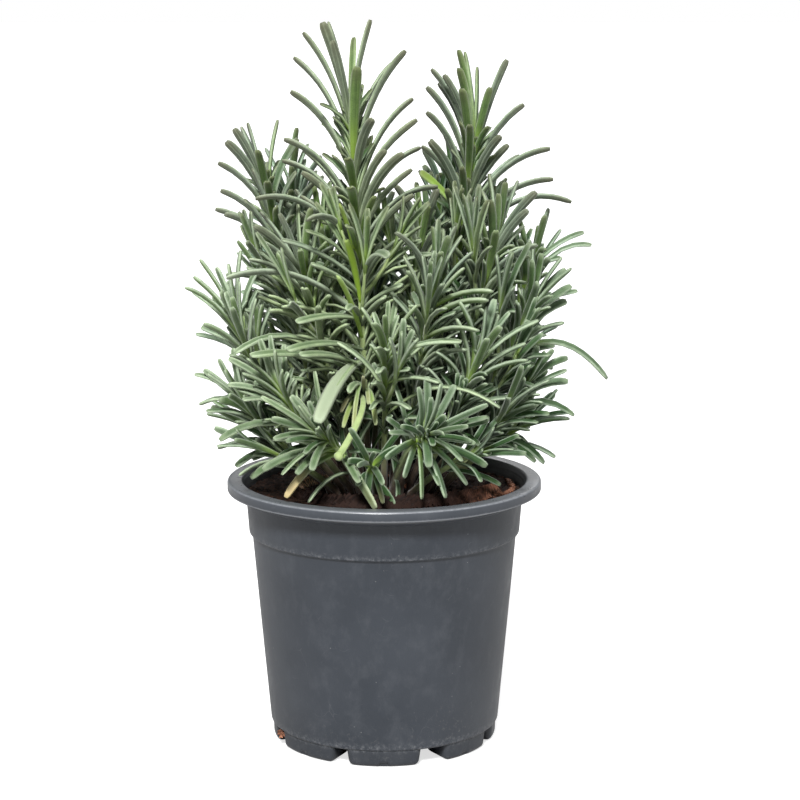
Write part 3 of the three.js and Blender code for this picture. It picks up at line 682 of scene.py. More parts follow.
def twig_leaves(twig, seed, stems, leaves):
    """The leaves of a twig that have room, from its tip down."""
    grown = []
    for pair in range(TWIG_PAIRS):
        below = 0.5 + TWIG_PAIR_GAP * pair
        if below > twig.stem.length:
            break
        for twin in (0, 1):
            length = twig.leaf * TWIG_PAIR_LENGTHS[pair] * (1 + 0.15 * swing(*seed, pair, twin, 1))
            turn = twig.turn + 90 * pair + 180 * twin + 20 * swing(*seed, pair, twin, 2)
            opens = 5 + 5 * pair + 4 * swing(*seed, pair, twin, 3)
            width = LEAF_WIDTH * mix(*TWIG_WIDTHS, draw(*seed, pair, twin, 4))
            leaf = small_leaf(twig, below, turn, opens, length, width, seed[0])
            leaf.age = 0.1 + pair / 8
            if has_room(leaf, twig.index, stems, leaves):
                grown.append(leaf)
    return grown


def twig_at(shoot, below, step, side):
    """A twig that leaves its stem on one side, and its seed."""
    seed = (shoot.index, step, side, 60)
    place, along = shoot.at(below)
    outward = sideways(along, 2 * math.pi * (side + draw(*seed)) / TWIG_SIDES)
    reach = mix(*TWIG_REACHES, draw(*seed, 1))
    lean = math.radians(mix(*TWIG_LEANS, draw(*seed, 2)))
    bend = place + (along * math.cos(lean) + outward * math.sin(lean)) * reach / 2
    onward = unit(along * TWIG_ONWARD + outward * TWIG_OUTWARD + np.array([0, 0, TWIG_UPWARD]))
    leaf = mix(*TWIG_LEAVES, draw(*seed, 3))
    turn = 360 * draw(*seed, 4)
    stem = Bend(place, bend, bend + onward * reach / 2)
    return Shoot(shoot.index, shoot.name, stem, leaf, (0, 0), 1, turn, TWIG_HALVES), seed


def grow_twigs(shoots, stems, leaves):
    """Twigs down each stem, each on the side where most of its leaves have room."""
    for shoot in shoots:
        first = LOWER_TWIGS.get(shoot.name, TWIG_START)
        for step in range(int((shoot.stem.length - first) / TWIG_PITCH) + 1):
            below = first + TWIG_PITCH * (step + 0.5 * swing(shoot.index, step, 51))
            if below > shoot.stem.length - TWIG_BARE_ROOT:
                continue
            best, room = None, TWIG_FEWEST_LEAVES
            for side in range(TWIG_SIDES):
                twig, seed = twig_at(shoot, below, step, side)
                grown = twig_leaves(twig, seed, stems, leaves)
                if len(grown) > room:
                    best, room = twig, len(grown)
                    best.leaves = grown
            if best:
                for leaf in best.leaves:
                    settle(leaf, shoot, leaves)
                shoot.twigs.append(best)


def bar_template(name, ring, stations):
    """A closed bar along Z with one station after another, ready to be bent into a leaf or a stem."""
    bm = bmesh.new()
    corners = [bm.verts.new((x, y, 0)) for x, y in ring]
    bm.faces.new(corners[::-1])
    loop = list(bm.edges)
    for before, after in zip(stations, stations[1:]):
        made = bmesh.ops.extrude_edge_only(bm, edges=loop)["geom"]
        loop = [item for item in made if isinstance(item, bmesh.types.BMEdge)]
        moved = [item for item in made if isinstance(item, bmesh.types.BMVert)]
        bmesh.ops.translate(bm, verts=moved, vec=(0, 0, after - before))
    bmesh.ops.edgeloop_fill(bm, edges=loop)
    bmesh.ops.recalc_face_normals(bm, faces=bm.faces)
    uv = bm.loops.layers.uv.new("UVMap")
    for face in bm.faces:
        face.smooth = True
        for corner in face.loops:
            corner[uv].uv = (corner.vert.co.x + 0.5, corner.vert.co.z)
    mesh = bpy.data.meshes.new(name)
    bm.to_mesh(mesh)
    bm.free()
    return mesh


def place_of(mesh):
    """The places of a mesh's vertices, one row for each."""
    flat = np.zeros(len(mesh.vertices) * 3)
    mesh.vertices.foreach_get("co", flat)
    return flat.reshape(-1, 3)


def finished(name, mesh, slot, *materials):
    """An object at the origin with its place in its mesh, riding on the plant."""
    for material in materials:
        mesh.materials.append(material)
    piece = bpy.data.objects.new(name, mesh)
    bpy.context.scene.collection.objects.link(piece)
    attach(piece, "root")
    return piece


def in_frame(points):
    """Millimetres from the pot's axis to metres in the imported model's frame."""
    return np.asarray(points) * MM + POT_AXIS


# The section of a leaf: edges rolled under, a groove above and the midrib below
LEAF_RING = (
    (-0.3, 0.34), (0, 0.1), (0.3, 0.34), (0.5, -0.04), (0.33, -0.4), (0, -0.62), (-0.33, -0.4), (-0.5, -0.04),
)
LEAF_DEPTH = 1.9
DEPTH_POWER = 0.7
LEAF_SLIMMED = 0.92
LEAF_BOW = 0.11
LEAF_TWIST = (8, 40)
HIGH_TWIST = (38, 68)
HIGH_TWIST_STARTS = 215
UPRIGHT_SPREAD = 7
FELT_SHOWS = 0.5
HIGH_FELT_SHOWS = 0.85
HIGH_FELT_STARTS = 200
OLDEST_HIGH_FELT = 0.9
LEAST_HUG = 0.05
STEM_TIP_SLIMMED = 0.8
STEM_SUNK = 6
TWIG_AGE = 0.6
LEAF_ATTRIBUTES = ("tone", "age", "under", "dry", "fresh", "hue")
LONG_STATIONS = (0, 0.08, 0.22, 0.4, 0.58, 0.75, 0.88, 0.955, 0.99)
CURVED_STATIONS = (0, 0.06, 0.14, 0.24, 0.34, 0.44, 0.54, 0.64, 0.74, 0.83, 0.9, 0.955, 0.99)
CURVED_LENGTH = 42
SHORT_STATIONS = (0, 0.2, 0.46, 0.74, 0.92, 0.985)
LEAF_OUTLINE = (
    (0, 0.4, 0.6), (0.08, 0.56, 0.8), (0.22, 0.78, 0.95), (0.4, 0.94, 1), (0.58, 1, 1), (0.75, 1, 1),
    (0.88, 0.97, 0.98), (0.955, 0.84, 0.85), (0.99, 0.54, 0.55), (1, 0.4, 0.4),
)
STEM_RING = ((-0.8, -1), (0.8, -1), (1, -0.8), (1, 0.8), (0.8, 1), (-0.8, 1), (-1, 0.8), (-1, -0.8))
STEM_PARTS = 16
STEM_STATIONS = tuple(i / STEM_PARTS for i in range(STEM_PARTS + 1))
TWIG_EVERY = 4


def chord_of(leaf):
    return leaf.way.end - leaf.way.start


def bowed(leaf):
    """The leaf's curve with more bow: it hugs its stem first and then turns away."""
    chord = chord_of(leaf)
    reach = np.linalg.norm(chord)
    hug = leaf.along - chord * (leaf.along @ chord) / reach**2
    size = np.linalg.norm(hug)
    if size < LEAST_HUG:
        return leaf.way
    middle = leaf.way.middle + hug / size * LEAF_BOW * reach * min(1, 2 * size)
    return Bend(leaf.way.start, middle, leaf.way.end)


def bent_leaf(leaf, template, seed):
    """Where each vertex of the leaf's template goes."""
    outline = np.array(LEAF_OUTLINE)
    shares = template[:, 2]
    slimmed = LEAF_SLIMMED if leaf.fine and leaf.way.length < CURVED_LENGTH else 1
    wide = np.interp(shares, outline[:, 0], outline[:, 1]) * leaf.width * slimmed
    thinned = (leaf.width * slimmed / LEAF_WIDTH) ** DEPTH_POWER
    thick = np.interp(shares, outline[:, 0], outline[:, 2]) * LEAF_DEPTH * thinned
    way = bowed(leaf)
    centre = way.points(shares)
    along = way.directions(shares)
    across = leaf.across - along * (along @ leaf.across)[:, None]
    across /= np.linalg.norm(across, axis=1)[:, None]
    up = np.cross(along, across)
    mostly = leaf.fine and leaf.age < OLDEST_HIGH_FELT and leaf.way.end[2] > HIGH_FELT_STARTS
    shows_felt = draw(*seed, 32) < (HIGH_FELT_SHOWS if mostly else FELT_SHOWS)
    turned_to = 1 if (leaf.across[1] < 0) == shows_felt else -1
    high = leaf.fine and leaf.way.end[2] > HIGH_TWIST_STARTS and abs(chord_of(leaf)[0]) > UPRIGHT_SPREAD
    most = mix(*(HIGH_TWIST if high else LEAF_TWIST), draw(*seed, 31))
    twist = math.radians(most) * turned_to * np.sqrt(shares)
    cos, sin = np.cos(twist)[:, None], np.sin(twist)[:, None]
    across, up = across * cos + up * sin, up * cos - across * sin
    return centre + across * (template[:, 0] * wide)[:, None] + up * (template[:, 1] * thick)[:, None]


def bent_stem(shoot, template, sunk=0):
    """Where each vertex of the stem's template goes, with its foot sunk into the soil."""
    shares = template[:, 2]
    t = shoot.stem.at_shares(shares)
    centre = shoot.stem.points(t)
    centre[shares == 0, 2] -= sunk
    along = shoot.stem.directions(t)
    across = np.array([sideways(way, math.radians(shoot.turn)) for way in along])
    up = np.cross(along, across)
    half = mix(shoot.halves[0], shoot.halves[1] * STEM_TIP_SLIMMED, shares)
    return centre + across * (template[:, 0] * half)[:, None] + up * (template[:, 1] * half)[:, None]


def leafy_stem(shoot, templates, materials):
    """One leafy stem, which stands for its solid."""
    bm = bmesh.new()
    places = []
    noted = {name: [] for name in LEAF_ATTRIBUTES}

    def join(template, points, **given):
        bm.from_mesh(template)
        places.append(points)
        for name in LEAF_ATTRIBUTES:
            noted[name].append(np.broadcast_to(given.get(name, 0.0), len(points)))

    for twig in [shoot] + shoot.twigs:
        is_main = twig is shoot
        template = templates["stem" if is_main else "twig"]
        bar = place_of(template)
        points = bent_stem(twig, bar, STEM_SUNK if is_main else 0)
        join(template, points, tone=0.5, age=bar[:, 2] if is_main else TWIG_AGE)
    stem_faces = len(bm.faces)
    for i, leaf in enumerate(shoot.leaves):
        kind = "short" if not leaf.fine else "curved" if leaf.way.length > CURVED_LENGTH else "long"
        flat = place_of(templates[kind])
        points = bent_leaf(leaf, flat, (shoot.index, i))
        under = np.clip((0.05 - flat[:, 1]) / 0.3, 0, 1)
        join(
            templates[kind], points, tone=leaf.tone, age=leaf.age, under=under, dry=leaf.dry, fresh=leaf.fresh,
            hue=leaf.hue,
        )
    mesh = bpy.data.meshes.new(f"leafy_{shoot.name}")
    bm.to_mesh(mesh)
    bm.free()
    points = np.concatenate(places)
    above = np.maximum(points[:, 2] - SOIL_LEVEL, 0)
    points[:, 2] -= above * (1 - HEIGHT_KEPT.get(shoot.name, 1))
    mesh.vertices.foreach_set("co", in_frame(points).ravel())
    for name, values in noted.items():
        mesh.attributes.new(name, "FLOAT", "POINT").data.foreach_set("value", np.concatenate(values))
    indices = np.zeros(len(mesh.polygons), int)
    indices[:stem_faces] = 1
    mesh.polygons.foreach_set("material_index", indices)
    mesh.update()
    piece = finished(f"leafy_{shoot.name}", mesh, "leaf", *materials)
    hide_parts(f"stem_{shoot.name}")


STUB = Bend((-11, -13.5, 147), (-3, -42, 150), (-17.4, -48, 128.5))
STUB_HALVES = (0.9, 1.7)
STUB_AGE = 0.7
STUB_KNOB = 2.0
KNOB_LUMPS = 0.16
KNOB_PITCH = 0.7


def cut_stub(template, material):
    """The pale stub of a cut stem with its swollen end."""
    bm = bmesh.new()
    bm.from_mesh(template)
    bar = place_of(template)
    shoot = Shoot(len(SHOOTS), "stub", STUB, 0, (0, 0), 1, 0, STUB_HALVES)
    knob = bmesh.ops.create_icosphere(bm, subdivisions=2, radius=STUB_KNOB)["verts"]
    for corner in knob:
        corner.co *= 1 + KNOB_LUMPS * noise.noise(corner.co * KNOB_PITCH)
        corner.co += Vector(STUB.end)
    mesh = bpy.data.meshes.new("cut_stub")
    for face in bm.faces:
        face.smooth = True
    bm.to_mesh(mesh)
    bm.free()
    points = place_of(mesh)
    points[:len(bar)] = bent_stem(shoot, bar)
    mesh.vertices.foreach_set("co", in_frame(points).ravel())
    mesh.attributes.new("age", "FLOAT", "POINT").data.foreach_set("value", np.full(len(points), STUB_AGE))
    mesh.update()
    finished("cut_stub", mesh, "leaf", material)


# Materials: small helpers, then the effects that several of them share
def add(tree, kind, inputs=None, **settings):
    made = tree.nodes.new(kind)
    for name, value in settings.items():
        setattr(made, name, value)
    for key, value in (inputs or {}).items():
        if isinstance(value, bpy.types.NodeSocket):
            tree.links.new(value, made.inputs[key])
        else:
            made.inputs[key].default_value = value
    return made


def colour(red, green, blue):
    """A colour as its shader socket wants it, with full alpha."""
    return (red, green, blue, 1.0)


def blended(tree, factor, first, second, kind="MIX"):
    made = add(tree, "ShaderNodeMix", data_type="RGBA", blend_type=kind)
    for socket, value in ((made.inputs[0], factor), (made.inputs[6], first), (made.inputs[7], second)):
        if isinstance(value, bpy.types.NodeSocket):
            tree.links.new(value, socket)
        else:
            socket.default_value = value
    return made.outputs[2]


def ranged(tree, value, low, high, to_low=0.0, to_high=1.0):
    made = add(
        tree, "ShaderNodeMapRange", {"Value": value, 1: low, 2: high, 3: to_low, 4: to_high}, clamp=True
    )
    return made.outputs["Result"]


def maths(tree, operation, first, second):
    return add(tree, "ShaderNodeMath", {0: first, 1: second}, operation=operation).outputs[0]


def product(tree, first, second):
    return maths(tree, "MULTIPLY", first, second)


def vectors(tree, operation, *values):
    return add(tree, "ShaderNodeVectorMath", dict(enumerate(values)), operation=operation).outputs


def between(tree, value, start, full, fade, end):
    """A mask that rises from start to full and falls from fade to end."""
    return product(tree, ranged(tree, value, start, full), ranged(tree, value, end, fade))


def object_place(tree):
    return add(tree, "ShaderNodeTexCoord").outputs["Object"]


def parts_of(tree, vector):
    return add(tree, "ShaderNodeSeparateXYZ", {0: vector}).outputs


def stretched(tree, vector, scale):
    return add(tree, "ShaderNodeMapping", {"Vector": vector, "Scale": scale}).outputs[0]


def mottle(tree, place, scale, detail, roughness=0.5):
    """Noise, as a number and as a colour."""
    inputs = {"Vector": place, "Scale": scale, "Detail": detail, "Roughness": roughness}
    return add(tree, "ShaderNodeTexNoise", inputs).outputs


def group_tree(name, inputs, outputs):
    tree = bpy.data.node_groups.new(name, "ShaderNodeTree")
    for label, kind, value in inputs:
        tree.interface.new_socket(label, in_out="INPUT", socket_type=kind).default_value = value
    for label, kind in outputs:
        tree.interface.new_socket(label, in_out="OUTPUT", socket_type=kind)
    return tree, tree.nodes.new("NodeGroupInput").outputs, tree.nodes.new("NodeGroupOutput").inputs


def uneven_tone_group():
    """Two tones that drift into each other over the piece."""
    inputs = (
        ("Dark", "NodeSocketColor", colour(0, 0, 0)),
        ("Light", "NodeSocketColor", colour(1, 1, 1)),
        ("Scale", "NodeSocketFloat", 60.0),
        ("Contrast", "NodeSocketFloat", 0.3),
    )
    tree, given, result = group_tree("uneven tone", inputs, (("Color", "NodeSocketColor"),))
    drift = mottle(tree, object_place(tree), given["Scale"], 4.0)[0]
    low = maths(tree, "SUBTRACT", 0.5, given["Contrast"])
    high = maths(tree, "ADD", 0.5, given["Contrast"])
    share = ranged(tree, drift, low, high)
    tree.links.new(blended(tree, share, given["Dark"], given["Light"]), result["Color"])
    return tree


def grain_group():
    """A fine grain that stands up from the surface."""
    inputs = (
        ("Scale", "NodeSocketFloat", 2000.0),
        ("Height", "NodeSocketFloat", 0.0002),
        ("Strength", "NodeSocketFloat", 0.5),
    )
    tree, given, result = group_tree("fine grain", inputs, (("Normal", "NodeSocketVector"),))
    grain = mottle(tree, object_place(tree), given["Scale"], 3.0)[0]
    raised = {"Height": grain, "Distance": given["Height"], "Strength": given["Strength"]}
    bump = add(tree, "ShaderNodeBump", raised)
    tree.links.new(bump.outputs[0], result["Normal"])
    return tree


def specks_group():
    """A mask of small scattered specks."""
    inputs = (
        ("Scale", "NodeSocketFloat", 900.0),
        ("Size", "NodeSocketFloat", 0.2),
        ("Share", "NodeSocketFloat", 0.5),
    )
    tree, given, result = group_tree("specks", inputs, (("Mask", "NodeSocketFloat"),))
    cells = add(tree, "ShaderNodeTexVoronoi", {"Vector": object_place(tree), "Scale": given["Scale"]})
    dot = maths(tree, "LESS_THAN", cells.outputs["Distance"], given["Size"])
    lot = add(tree, "ShaderNodeSeparateColor", {0: cells.outputs["Color"]}).outputs[0]
    chosen = maths(tree, "LESS_THAN", lot, given["Share"])
    tree.links.new(product(tree, dot, chosen), result["Mask"])
    return tree


def surface(name, **fixed):
    """A material with its Principled shader, whose plain values are set on the shader itself."""
    material = bpy.data.materials.new(name)
    material.use_nodes = True
    shader = material.node_tree.nodes["Principled BSDF"]
    for label, value in fixed.items():
        shader.inputs[label.replace("_", " ")].default_value = value
    return material, material.node_tree, shader


def grouped(tree, group, **inputs):
    return add(tree, "ShaderNodeGroup", inputs, node_tree=group).outputs[0]


def two_tones(tree, groups, dark, light, scale, contrast=0.3):
    return grouped(tree, groups["uneven tone"], Dark=dark, Light=light, Scale=scale, Contrast=contrast)


def grained(tree, shader, groups, scale, height, strength):
    """Gives the shader its fine grain."""
    grain = grouped(tree, groups["fine grain"], Scale=scale, Height=height, Strength=strength)
    tree.links.new(grain, shader.inputs["Normal"])


def attribute(tree, name):
    return add(tree, "ShaderNodeAttribute", attribute_name=name).outputs["Fac"]


# Where the colours of a leaf change: across it from its middle, along it from its root, and by its age
# The pale edges are partly the felt's own colour and partly painted highlight
PALE_EDGE_AND_HIGHLIGHT_ZONE = (0.3, 0.46)
# Painted shade darkens the middle of the leaf: the groove above, and the furrows beside the rib below
GROOVE_SHADE_ZONE = (0.27, 0.1)
RIB_ZONE = (0.1, 0.04)
YOUNG_ZONE = (0.45, 0.0)
DRY_ZONE = (0.55, 0.85)
DARK_TIP_ZONE = (0.75, 1.0)
PALE_TIP_ZONE = (0.88, 1.0)
YOUNG_AGES = (0.75, 0.1)
FELT_AGES = (0.15, 0.6)
RIB_AGES = (0.3, 0.6)

# Where they change on the plant, in metres: up into its head, and from its middle to its back, where a cooler
# tint is partly painted shade and partly the cooler colour of young inner growth
HEAD_ZONE = (0.195, 0.225)
BACK_SHADE_ZONE = (-0.005, 0.03)


def leaf_upper(tree, tone, edge, groove):
    """Sage, with painted shade along the groove and pale rolled edges that are partly the felt's own colour and
    partly painted highlight.
    """
    # By its tone, from the shaded colour to the lit one: painted light and shade
    sage = blended(tree, tone, colour(0.03, 0.08, 0.022), colour(0.39, 0.47, 0.33))
    # Pale rolled edges: partly the felt's own colour, partly painted highlight
    sage = blended(tree, product(tree, edge, 0.8), sage, colour(0.6, 0.69, 0.52))
    # Painted shade along the groove
    return blended(tree, product(tree, groove, 0.62), sage, colour(0.07, 0.13, 0.045))


def leaf_lower(tree, tone, age, from_middle, edge, groove, high):
    """Felt, greener on a young leaf, with a pale rib between bands of painted shade, and with pale edges, partly
    the felt's own colour and partly painted highlight, that are palest low on the plant.
    """
    # By its tone, from the shaded colour to the lit one: painted light and shade
    young = blended(tree, tone, colour(0.045, 0.1, 0.025), colour(0.22, 0.32, 0.13))
    old = blended(tree, tone, colour(0.06, 0.085, 0.055), colour(0.22, 0.245, 0.19))
    felt = blended(tree, ranged(tree, age, *FELT_AGES), young, old)
    # Painted shade in the furrows beside the midrib
    felt = blended(tree, product(tree, groove, 0.4), felt, colour(0.07, 0.11, 0.05))
    rib = product(tree, ranged(tree, from_middle, *RIB_ZONE), ranged(tree, age, *RIB_AGES, 0.0, 0.5))
    felt = blended(tree, rib, felt, colour(0.4, 0.44, 0.35))
    # Pale edges: partly the felt's own colour, partly painted highlight
    pale_edge_and_highlight = product(tree, edge, ranged(tree, high, 0.0, 1.0, 0.65, 0.3))
    return blended(tree, pale_edge_and_highlight, felt, colour(0.47, 0.53, 0.41))


def felt_nap(tree, groups, felt, uv, place):
    """The felt's uneven tone, its fine nap and the fibres along the leaf, which start anew on each leaf."""
    drift = two_tones(tree, groups, colour(0.66, 0.7, 0.7), colour(1.0, 1.0, 0.96), 260.0)
    felt = blended(tree, 1.0, felt, drift, "MULTIPLY")
    nap = two_tones(tree, groups, colour(0.72, 0.72, 0.72), colour(1.12, 1.12, 1.12), 1900.0)
    felt = blended(tree, 1.0, felt, nap, "MULTIPLY")
    fibres = stretched(tree, uv, (9.0, 2.5, 1.0))
    fibres = vectors(tree, "MULTIPLY_ADD", place, (50.0, 50.0, 50.0), fibres)[0]
    streaks = mottle(tree, fibres, 1.0, 3.0)[0]
    dull = blended(tree, 1.0, felt, colour(0.66, 0.7, 0.62), "MULTIPLY")
    return blended(tree, ranged(tree, streaks, 0.35, 0.62), felt, dull)


def leaf_felt(groups):
    """Grey-green leaf: sage above with painted shade along the groove and pale rolled edges that are partly
    painted highlight, felted below, lime where young.
    """
    material, tree, shader = surface(
        "leaf_felt", Roughness=0.5, Specular_IOR_Level=0.2, Sheen_Weight=0.12, Sheen_Roughness=0.4
    )
    uv = add(tree, "ShaderNodeUVMap", uv_map="UVMap").outputs[0]
    across, along, _ = parts_of(tree, uv)
    place = object_place(tree)
    _, depth, height = parts_of(tree, place)
    # tone holds each leaf's painted light and shade, with a random difference from leaf to leaf
    tone, age, under, dry, fresh, hue = (attribute(tree, name) for name in LEAF_ATTRIBUTES)
    high = ranged(tree, height, *HEAD_ZONE)
    from_middle = maths(tree, "ABSOLUTE", maths(tree, "SUBTRACT", across, 0.5), 0.0)
    edge = ranged(tree, from_middle, *PALE_EDGE_AND_HIGHLIGHT_ZONE)
    groove = ranged(tree, from_middle, *GROOVE_SHADE_ZONE)
    upper = leaf_upper(tree, tone, edge, groove)
    lower = leaf_lower(tree, tone, age, from_middle, edge, groove, high)
    felt = felt_nap(tree, groups, blended(tree, under, upper, lower), uv, place)
    felt = blended(tree, ranged(tree, hue, 0.0, 1.0), felt, colour(1.0, 1.1, 0.55), "MULTIPLY")
    felt = blended(tree, ranged(tree, hue, 0.0, -1.0), felt, colour(0.9, 0.97, 1.02), "MULTIPLY")
    young = product(tree, ranged(tree, along, *YOUNG_ZONE), ranged(tree, age, *YOUNG_AGES))
    felt = blended(tree, product(tree, young, 0.8), felt, colour(0.3, 0.45, 0.06))
    felt = blended(tree, ranged(tree, fresh, 0.0, 1.0, 0.0, 0.85), felt, colour(0.33, 0.5, 0.05))
    felt = blended(tree, ranged(tree, fresh, 0.0, -1.0, 0.0, 0.8), felt, colour(0.29, 0.34, 0.23))
    # Cooler towards the back: partly painted shade, partly the cooler colour of young inner growth
    felt = blended(tree, ranged(tree, depth, *BACK_SHADE_ZONE), felt, colour(0.9, 1.0, 1.04), "MULTIPLY")
    dark_tip = product(tree, ranged(tree, along, *DARK_TIP_ZONE, 0.0, 0.55), high)
    felt = blended(tree, dark_tip, felt, colour(0.11, 0.1, 0.06))
    pale_tip = product(tree, ranged(tree, along, *PALE_TIP_ZONE, 0.0, 0.35), maths(tree, "SUBTRACT", 1.0, high))
    felt = blended(tree, pale_tip, felt, colour(0.42, 0.5, 0.34))
    dried = product(tree, dry, ranged(tree, along, *DRY_ZONE))
    felt = blended(tree, dried, felt, colour(0.42, 0.34, 0.17))
    tree.links.new(felt, shader.inputs["Base Color"])
    grained(tree, shader, groups, 2600.0, 0.00015, 0.6)
    return material


WOODY_AGES = (0.12, 0.45)


def green_stem(groups):
    """Green stem that turns brown and woody towards the soil."""
    material, tree, shader = surface("green_stem", Roughness=0.7, Sheen_Weight=0.3, Sheen_Roughness=0.5)
    age = attribute(tree, "age")
    green = two_tones(tree, groups, colour(0.2, 0.28, 0.1), colour(0.34, 0.42, 0.17), 300.0)
    wood = two_tones(tree, groups, colour(0.035, 0.022, 0.015), colour(0.12, 0.08, 0.05), 500.0)
    tree.links.new(blended(tree, ranged(tree, age, *WOODY_AGES), wood, green), shader.inputs["Base Color"])
    grained(tree, shader, groups, 1500.0, 0.0003, 0.6)
    return material


# A dusty smudge low on the pot, in millimetres, and how far it fades, in metres
SMUDGE = (25, -40, 12)
SMUDGE_FADE = (0.016, 0.006)

# Heights on the pot in metres: where an edge line starts to show, is full, fades and ends; dust and wear at the
# feet and the shoulder step, wear and painted highlight along the skirt, and painted highlights along the lip,
# the ridge under the rim and the crest
FOOT_EDGE = (0.0055, 0.0068, 0.0085, 0.011)
STEP_EDGE = (0.0872, 0.0878, 0.0884, 0.0905)
SKIRT_EDGE = (0.1052, 0.1056, 0.1062, 0.1067)
LIP_HIGHLIGHT = (0.1053, 0.1055, 0.1059, 0.1063)
RIDGE_HIGHLIGHT = (0.1034, 0.1038, 0.1042, 0.1045)
CREST_HIGHLIGHT = (0.109, 0.1093, 0.1095, 0.1098)

# Heights, and distances from the axis, between which the rest of the pot changes: dust low down, painted shade on
# the feet and on the inner wall, painted light on the rim's face and top, and the radii of the crest's painted
# highlight
LOW_DUST = (0.026, 0.002)
FOOT_SHADE = (0.0072, 0.0064)
RIM_FACE = (0.1058, 0.1085)
RIM_TOP_PAINTED_LIGHT = (0.1086, 0.1097)
CREST_HIGHLIGHT_RADII = (0.062, 0.063)
INNER_SHADE_RADII = (0.0582, 0.0578)
INNER_SHADE_HEIGHTS = (0.1031, 0.1034)


def from_axis(tree, place):
    """How far a point is from the pot's axis."""
    flat = vectors(tree, "MULTIPLY", vectors(tree, "ADD", place, tuple(-POT_AXIS))[0], (1.0, 1.0, 0.0))[0]
    return vectors(tree, "LENGTH", flat)["Value"]


def hairline_scratches(tree, place):
    """A mask of wavy hairlines that show in patches."""
    bent = mottle(tree, place, 90.0, 2.0)["Color"]
    wavy = vectors(tree, "MULTIPLY_ADD", bent, (0.012, 0.012, 0.012), place)[0]
    cracks = add(tree, "ShaderNodeTexVoronoi", {"Vector": wavy, "Scale": 110.0}, feature="DISTANCE_TO_EDGE")
    patches = mottle(tree, place, 110.0, 2.0)[0]
    return product(tree, ranged(tree, cracks.outputs[0], 0.014, 0.003), ranged(tree, patches, 0.6, 0.7))


def pot_plastic(groups):
    """Slate grey moulded plastic with dull scuffs, rubbed edges and pale dust, painted light on the rim with
    highlight lines along its edges, and painted shade low on the feet and on the inner wall.
    """
    material, tree, shader = surface("pot_plastic")
    place = object_place(tree)
    height = parts_of(tree, place)[2]
    radius = from_axis(tree, place)
    base = two_tones(tree, groups, colour(0.019, 0.0235, 0.031), colour(0.031, 0.0365, 0.046), 30.0, 0.2)
    scuffs = mottle(tree, stretched(tree, place, (1.0, 1.0, 0.65)), 130.0, 9.0, 0.72)[0]
    base = blended(tree, ranged(tree, scuffs, 0.48, 0.8, 0.0, 0.45), base, colour(0.075, 0.081, 0.092))
    dusty = mottle(tree, place, 620.0, 6.0, 0.8)[0]
    # Pale broken lines: dust and wear at the feet's top edge and the shoulder step, wear and painted highlight
    # along the skirt's lower edge
    wear_and_edge_highlight = maths(tree, "MAXIMUM", between(tree, height, *FOOT_EDGE), between(tree, height, *SKIRT_EDGE))
    wear_and_edge_highlight = maths(tree, "MAXIMUM", wear_and_edge_highlight, between(tree, height, *STEP_EDGE))
    wear_and_edge_highlight = product(tree, wear_and_edge_highlight, ranged(tree, dusty, 0.46, 0.68))
    from_smudge = vectors(tree, "DISTANCE", place, tuple(in_frame(SMUDGE)))["Value"]
    smudge = ranged(tree, from_smudge, *SMUDGE_FADE, 0.0, 1.2)
    low_dust = maths(tree, "MAXIMUM", ranged(tree, height, *LOW_DUST), smudge)
    dust = product(tree, ranged(tree, dusty, 0.56, 0.76), maths(tree, "ADD", low_dust, 0.08))
    base = blended(tree, product(tree, dust, 0.45), base, colour(0.2, 0.195, 0.185))
    base = blended(tree, product(tree, wear_and_edge_highlight, 0.5), base, colour(0.19, 0.195, 0.205))
    specks = grouped(tree, groups["specks"], Scale=330.0, Size=0.07, Share=0.12)
    base = blended(tree, product(tree, specks, 0.35), base, colour(0.3, 0.3, 0.3))
    scratches = hairline_scratches(tree, place)
    base = blended(tree, product(tree, scratches, 0.16), base, colour(0.2, 0.205, 0.215))
    base = blended(tree, ranged(tree, height, *FOOT_SHADE, 0.0, 0.3), base, colour(0.012, 0.013, 0.015))
    # Painted light: the rim's face is lighter in colour, as well as smoother
    rim = ranged(tree, height, *RIM_FACE)
    base = blended(tree, product(tree, rim, 0.3), base, colour(0.075, 0.082, 0.093))
    # Painted light on the rim's top, which faces up to the light
    top = ranged(tree, height, *RIM_TOP_PAINTED_LIGHT)
    base = blended(tree, product(tree, top, 0.8), base, colour(0.1, 0.107, 0.118))
    # Painted highlight lines along the rim's lip and along the ridge under it
    lip_highlight = maths(tree, "MAXIMUM", between(tree, height, *LIP_HIGHLIGHT), between(tree, height, *RIDGE_HIGHLIGHT))
    base = blended(tree, product(tree, lip_highlight, 0.7), base, colour(0.21, 0.22, 0.235))
    # Painted highlight along the outer crest of the rim's top, broken up by the dusty noise
    crest_highlight = product(tree, between(tree, height, *CREST_HIGHLIGHT), ranged(tree, radius, *CREST_HIGHLIGHT_RADII))
    crest_highlight = product(tree, crest_highlight, ranged(tree, dusty, 0.35, 0.6, 0.25, 0.75))
    base = blended(tree, crest_highlight, base, colour(0.22, 0.232, 0.25))
    # Painted shade: the inner wall above the soil is near black
    inner_wall_shade = ranged(tree, height, *INNER_SHADE_HEIGHTS, 0.0, 0.85)
    inside = product(tree, ranged(tree, radius, *INNER_SHADE_RADII), inner_wall_shade)
    base = blended(tree, inside, base, colour(0.006, 0.007, 0.008))
    tree.links.new(base, shader.inputs["Base Color"])
    rough = ranged(tree, scuffs, 0.35, 0.75, 0.42, 0.58)
    rough = maths(tree, "SUBTRACT", rough, product(tree, rim, 0.16))
    rough = maths(tree, "ADD", rough, product(tree, dust, 0.2))
    tree.links.new(rough, shader.inputs["Roughness"])
    grained(tree, shader, groups, 1400.0, 0.00006, 0.35)
    return material


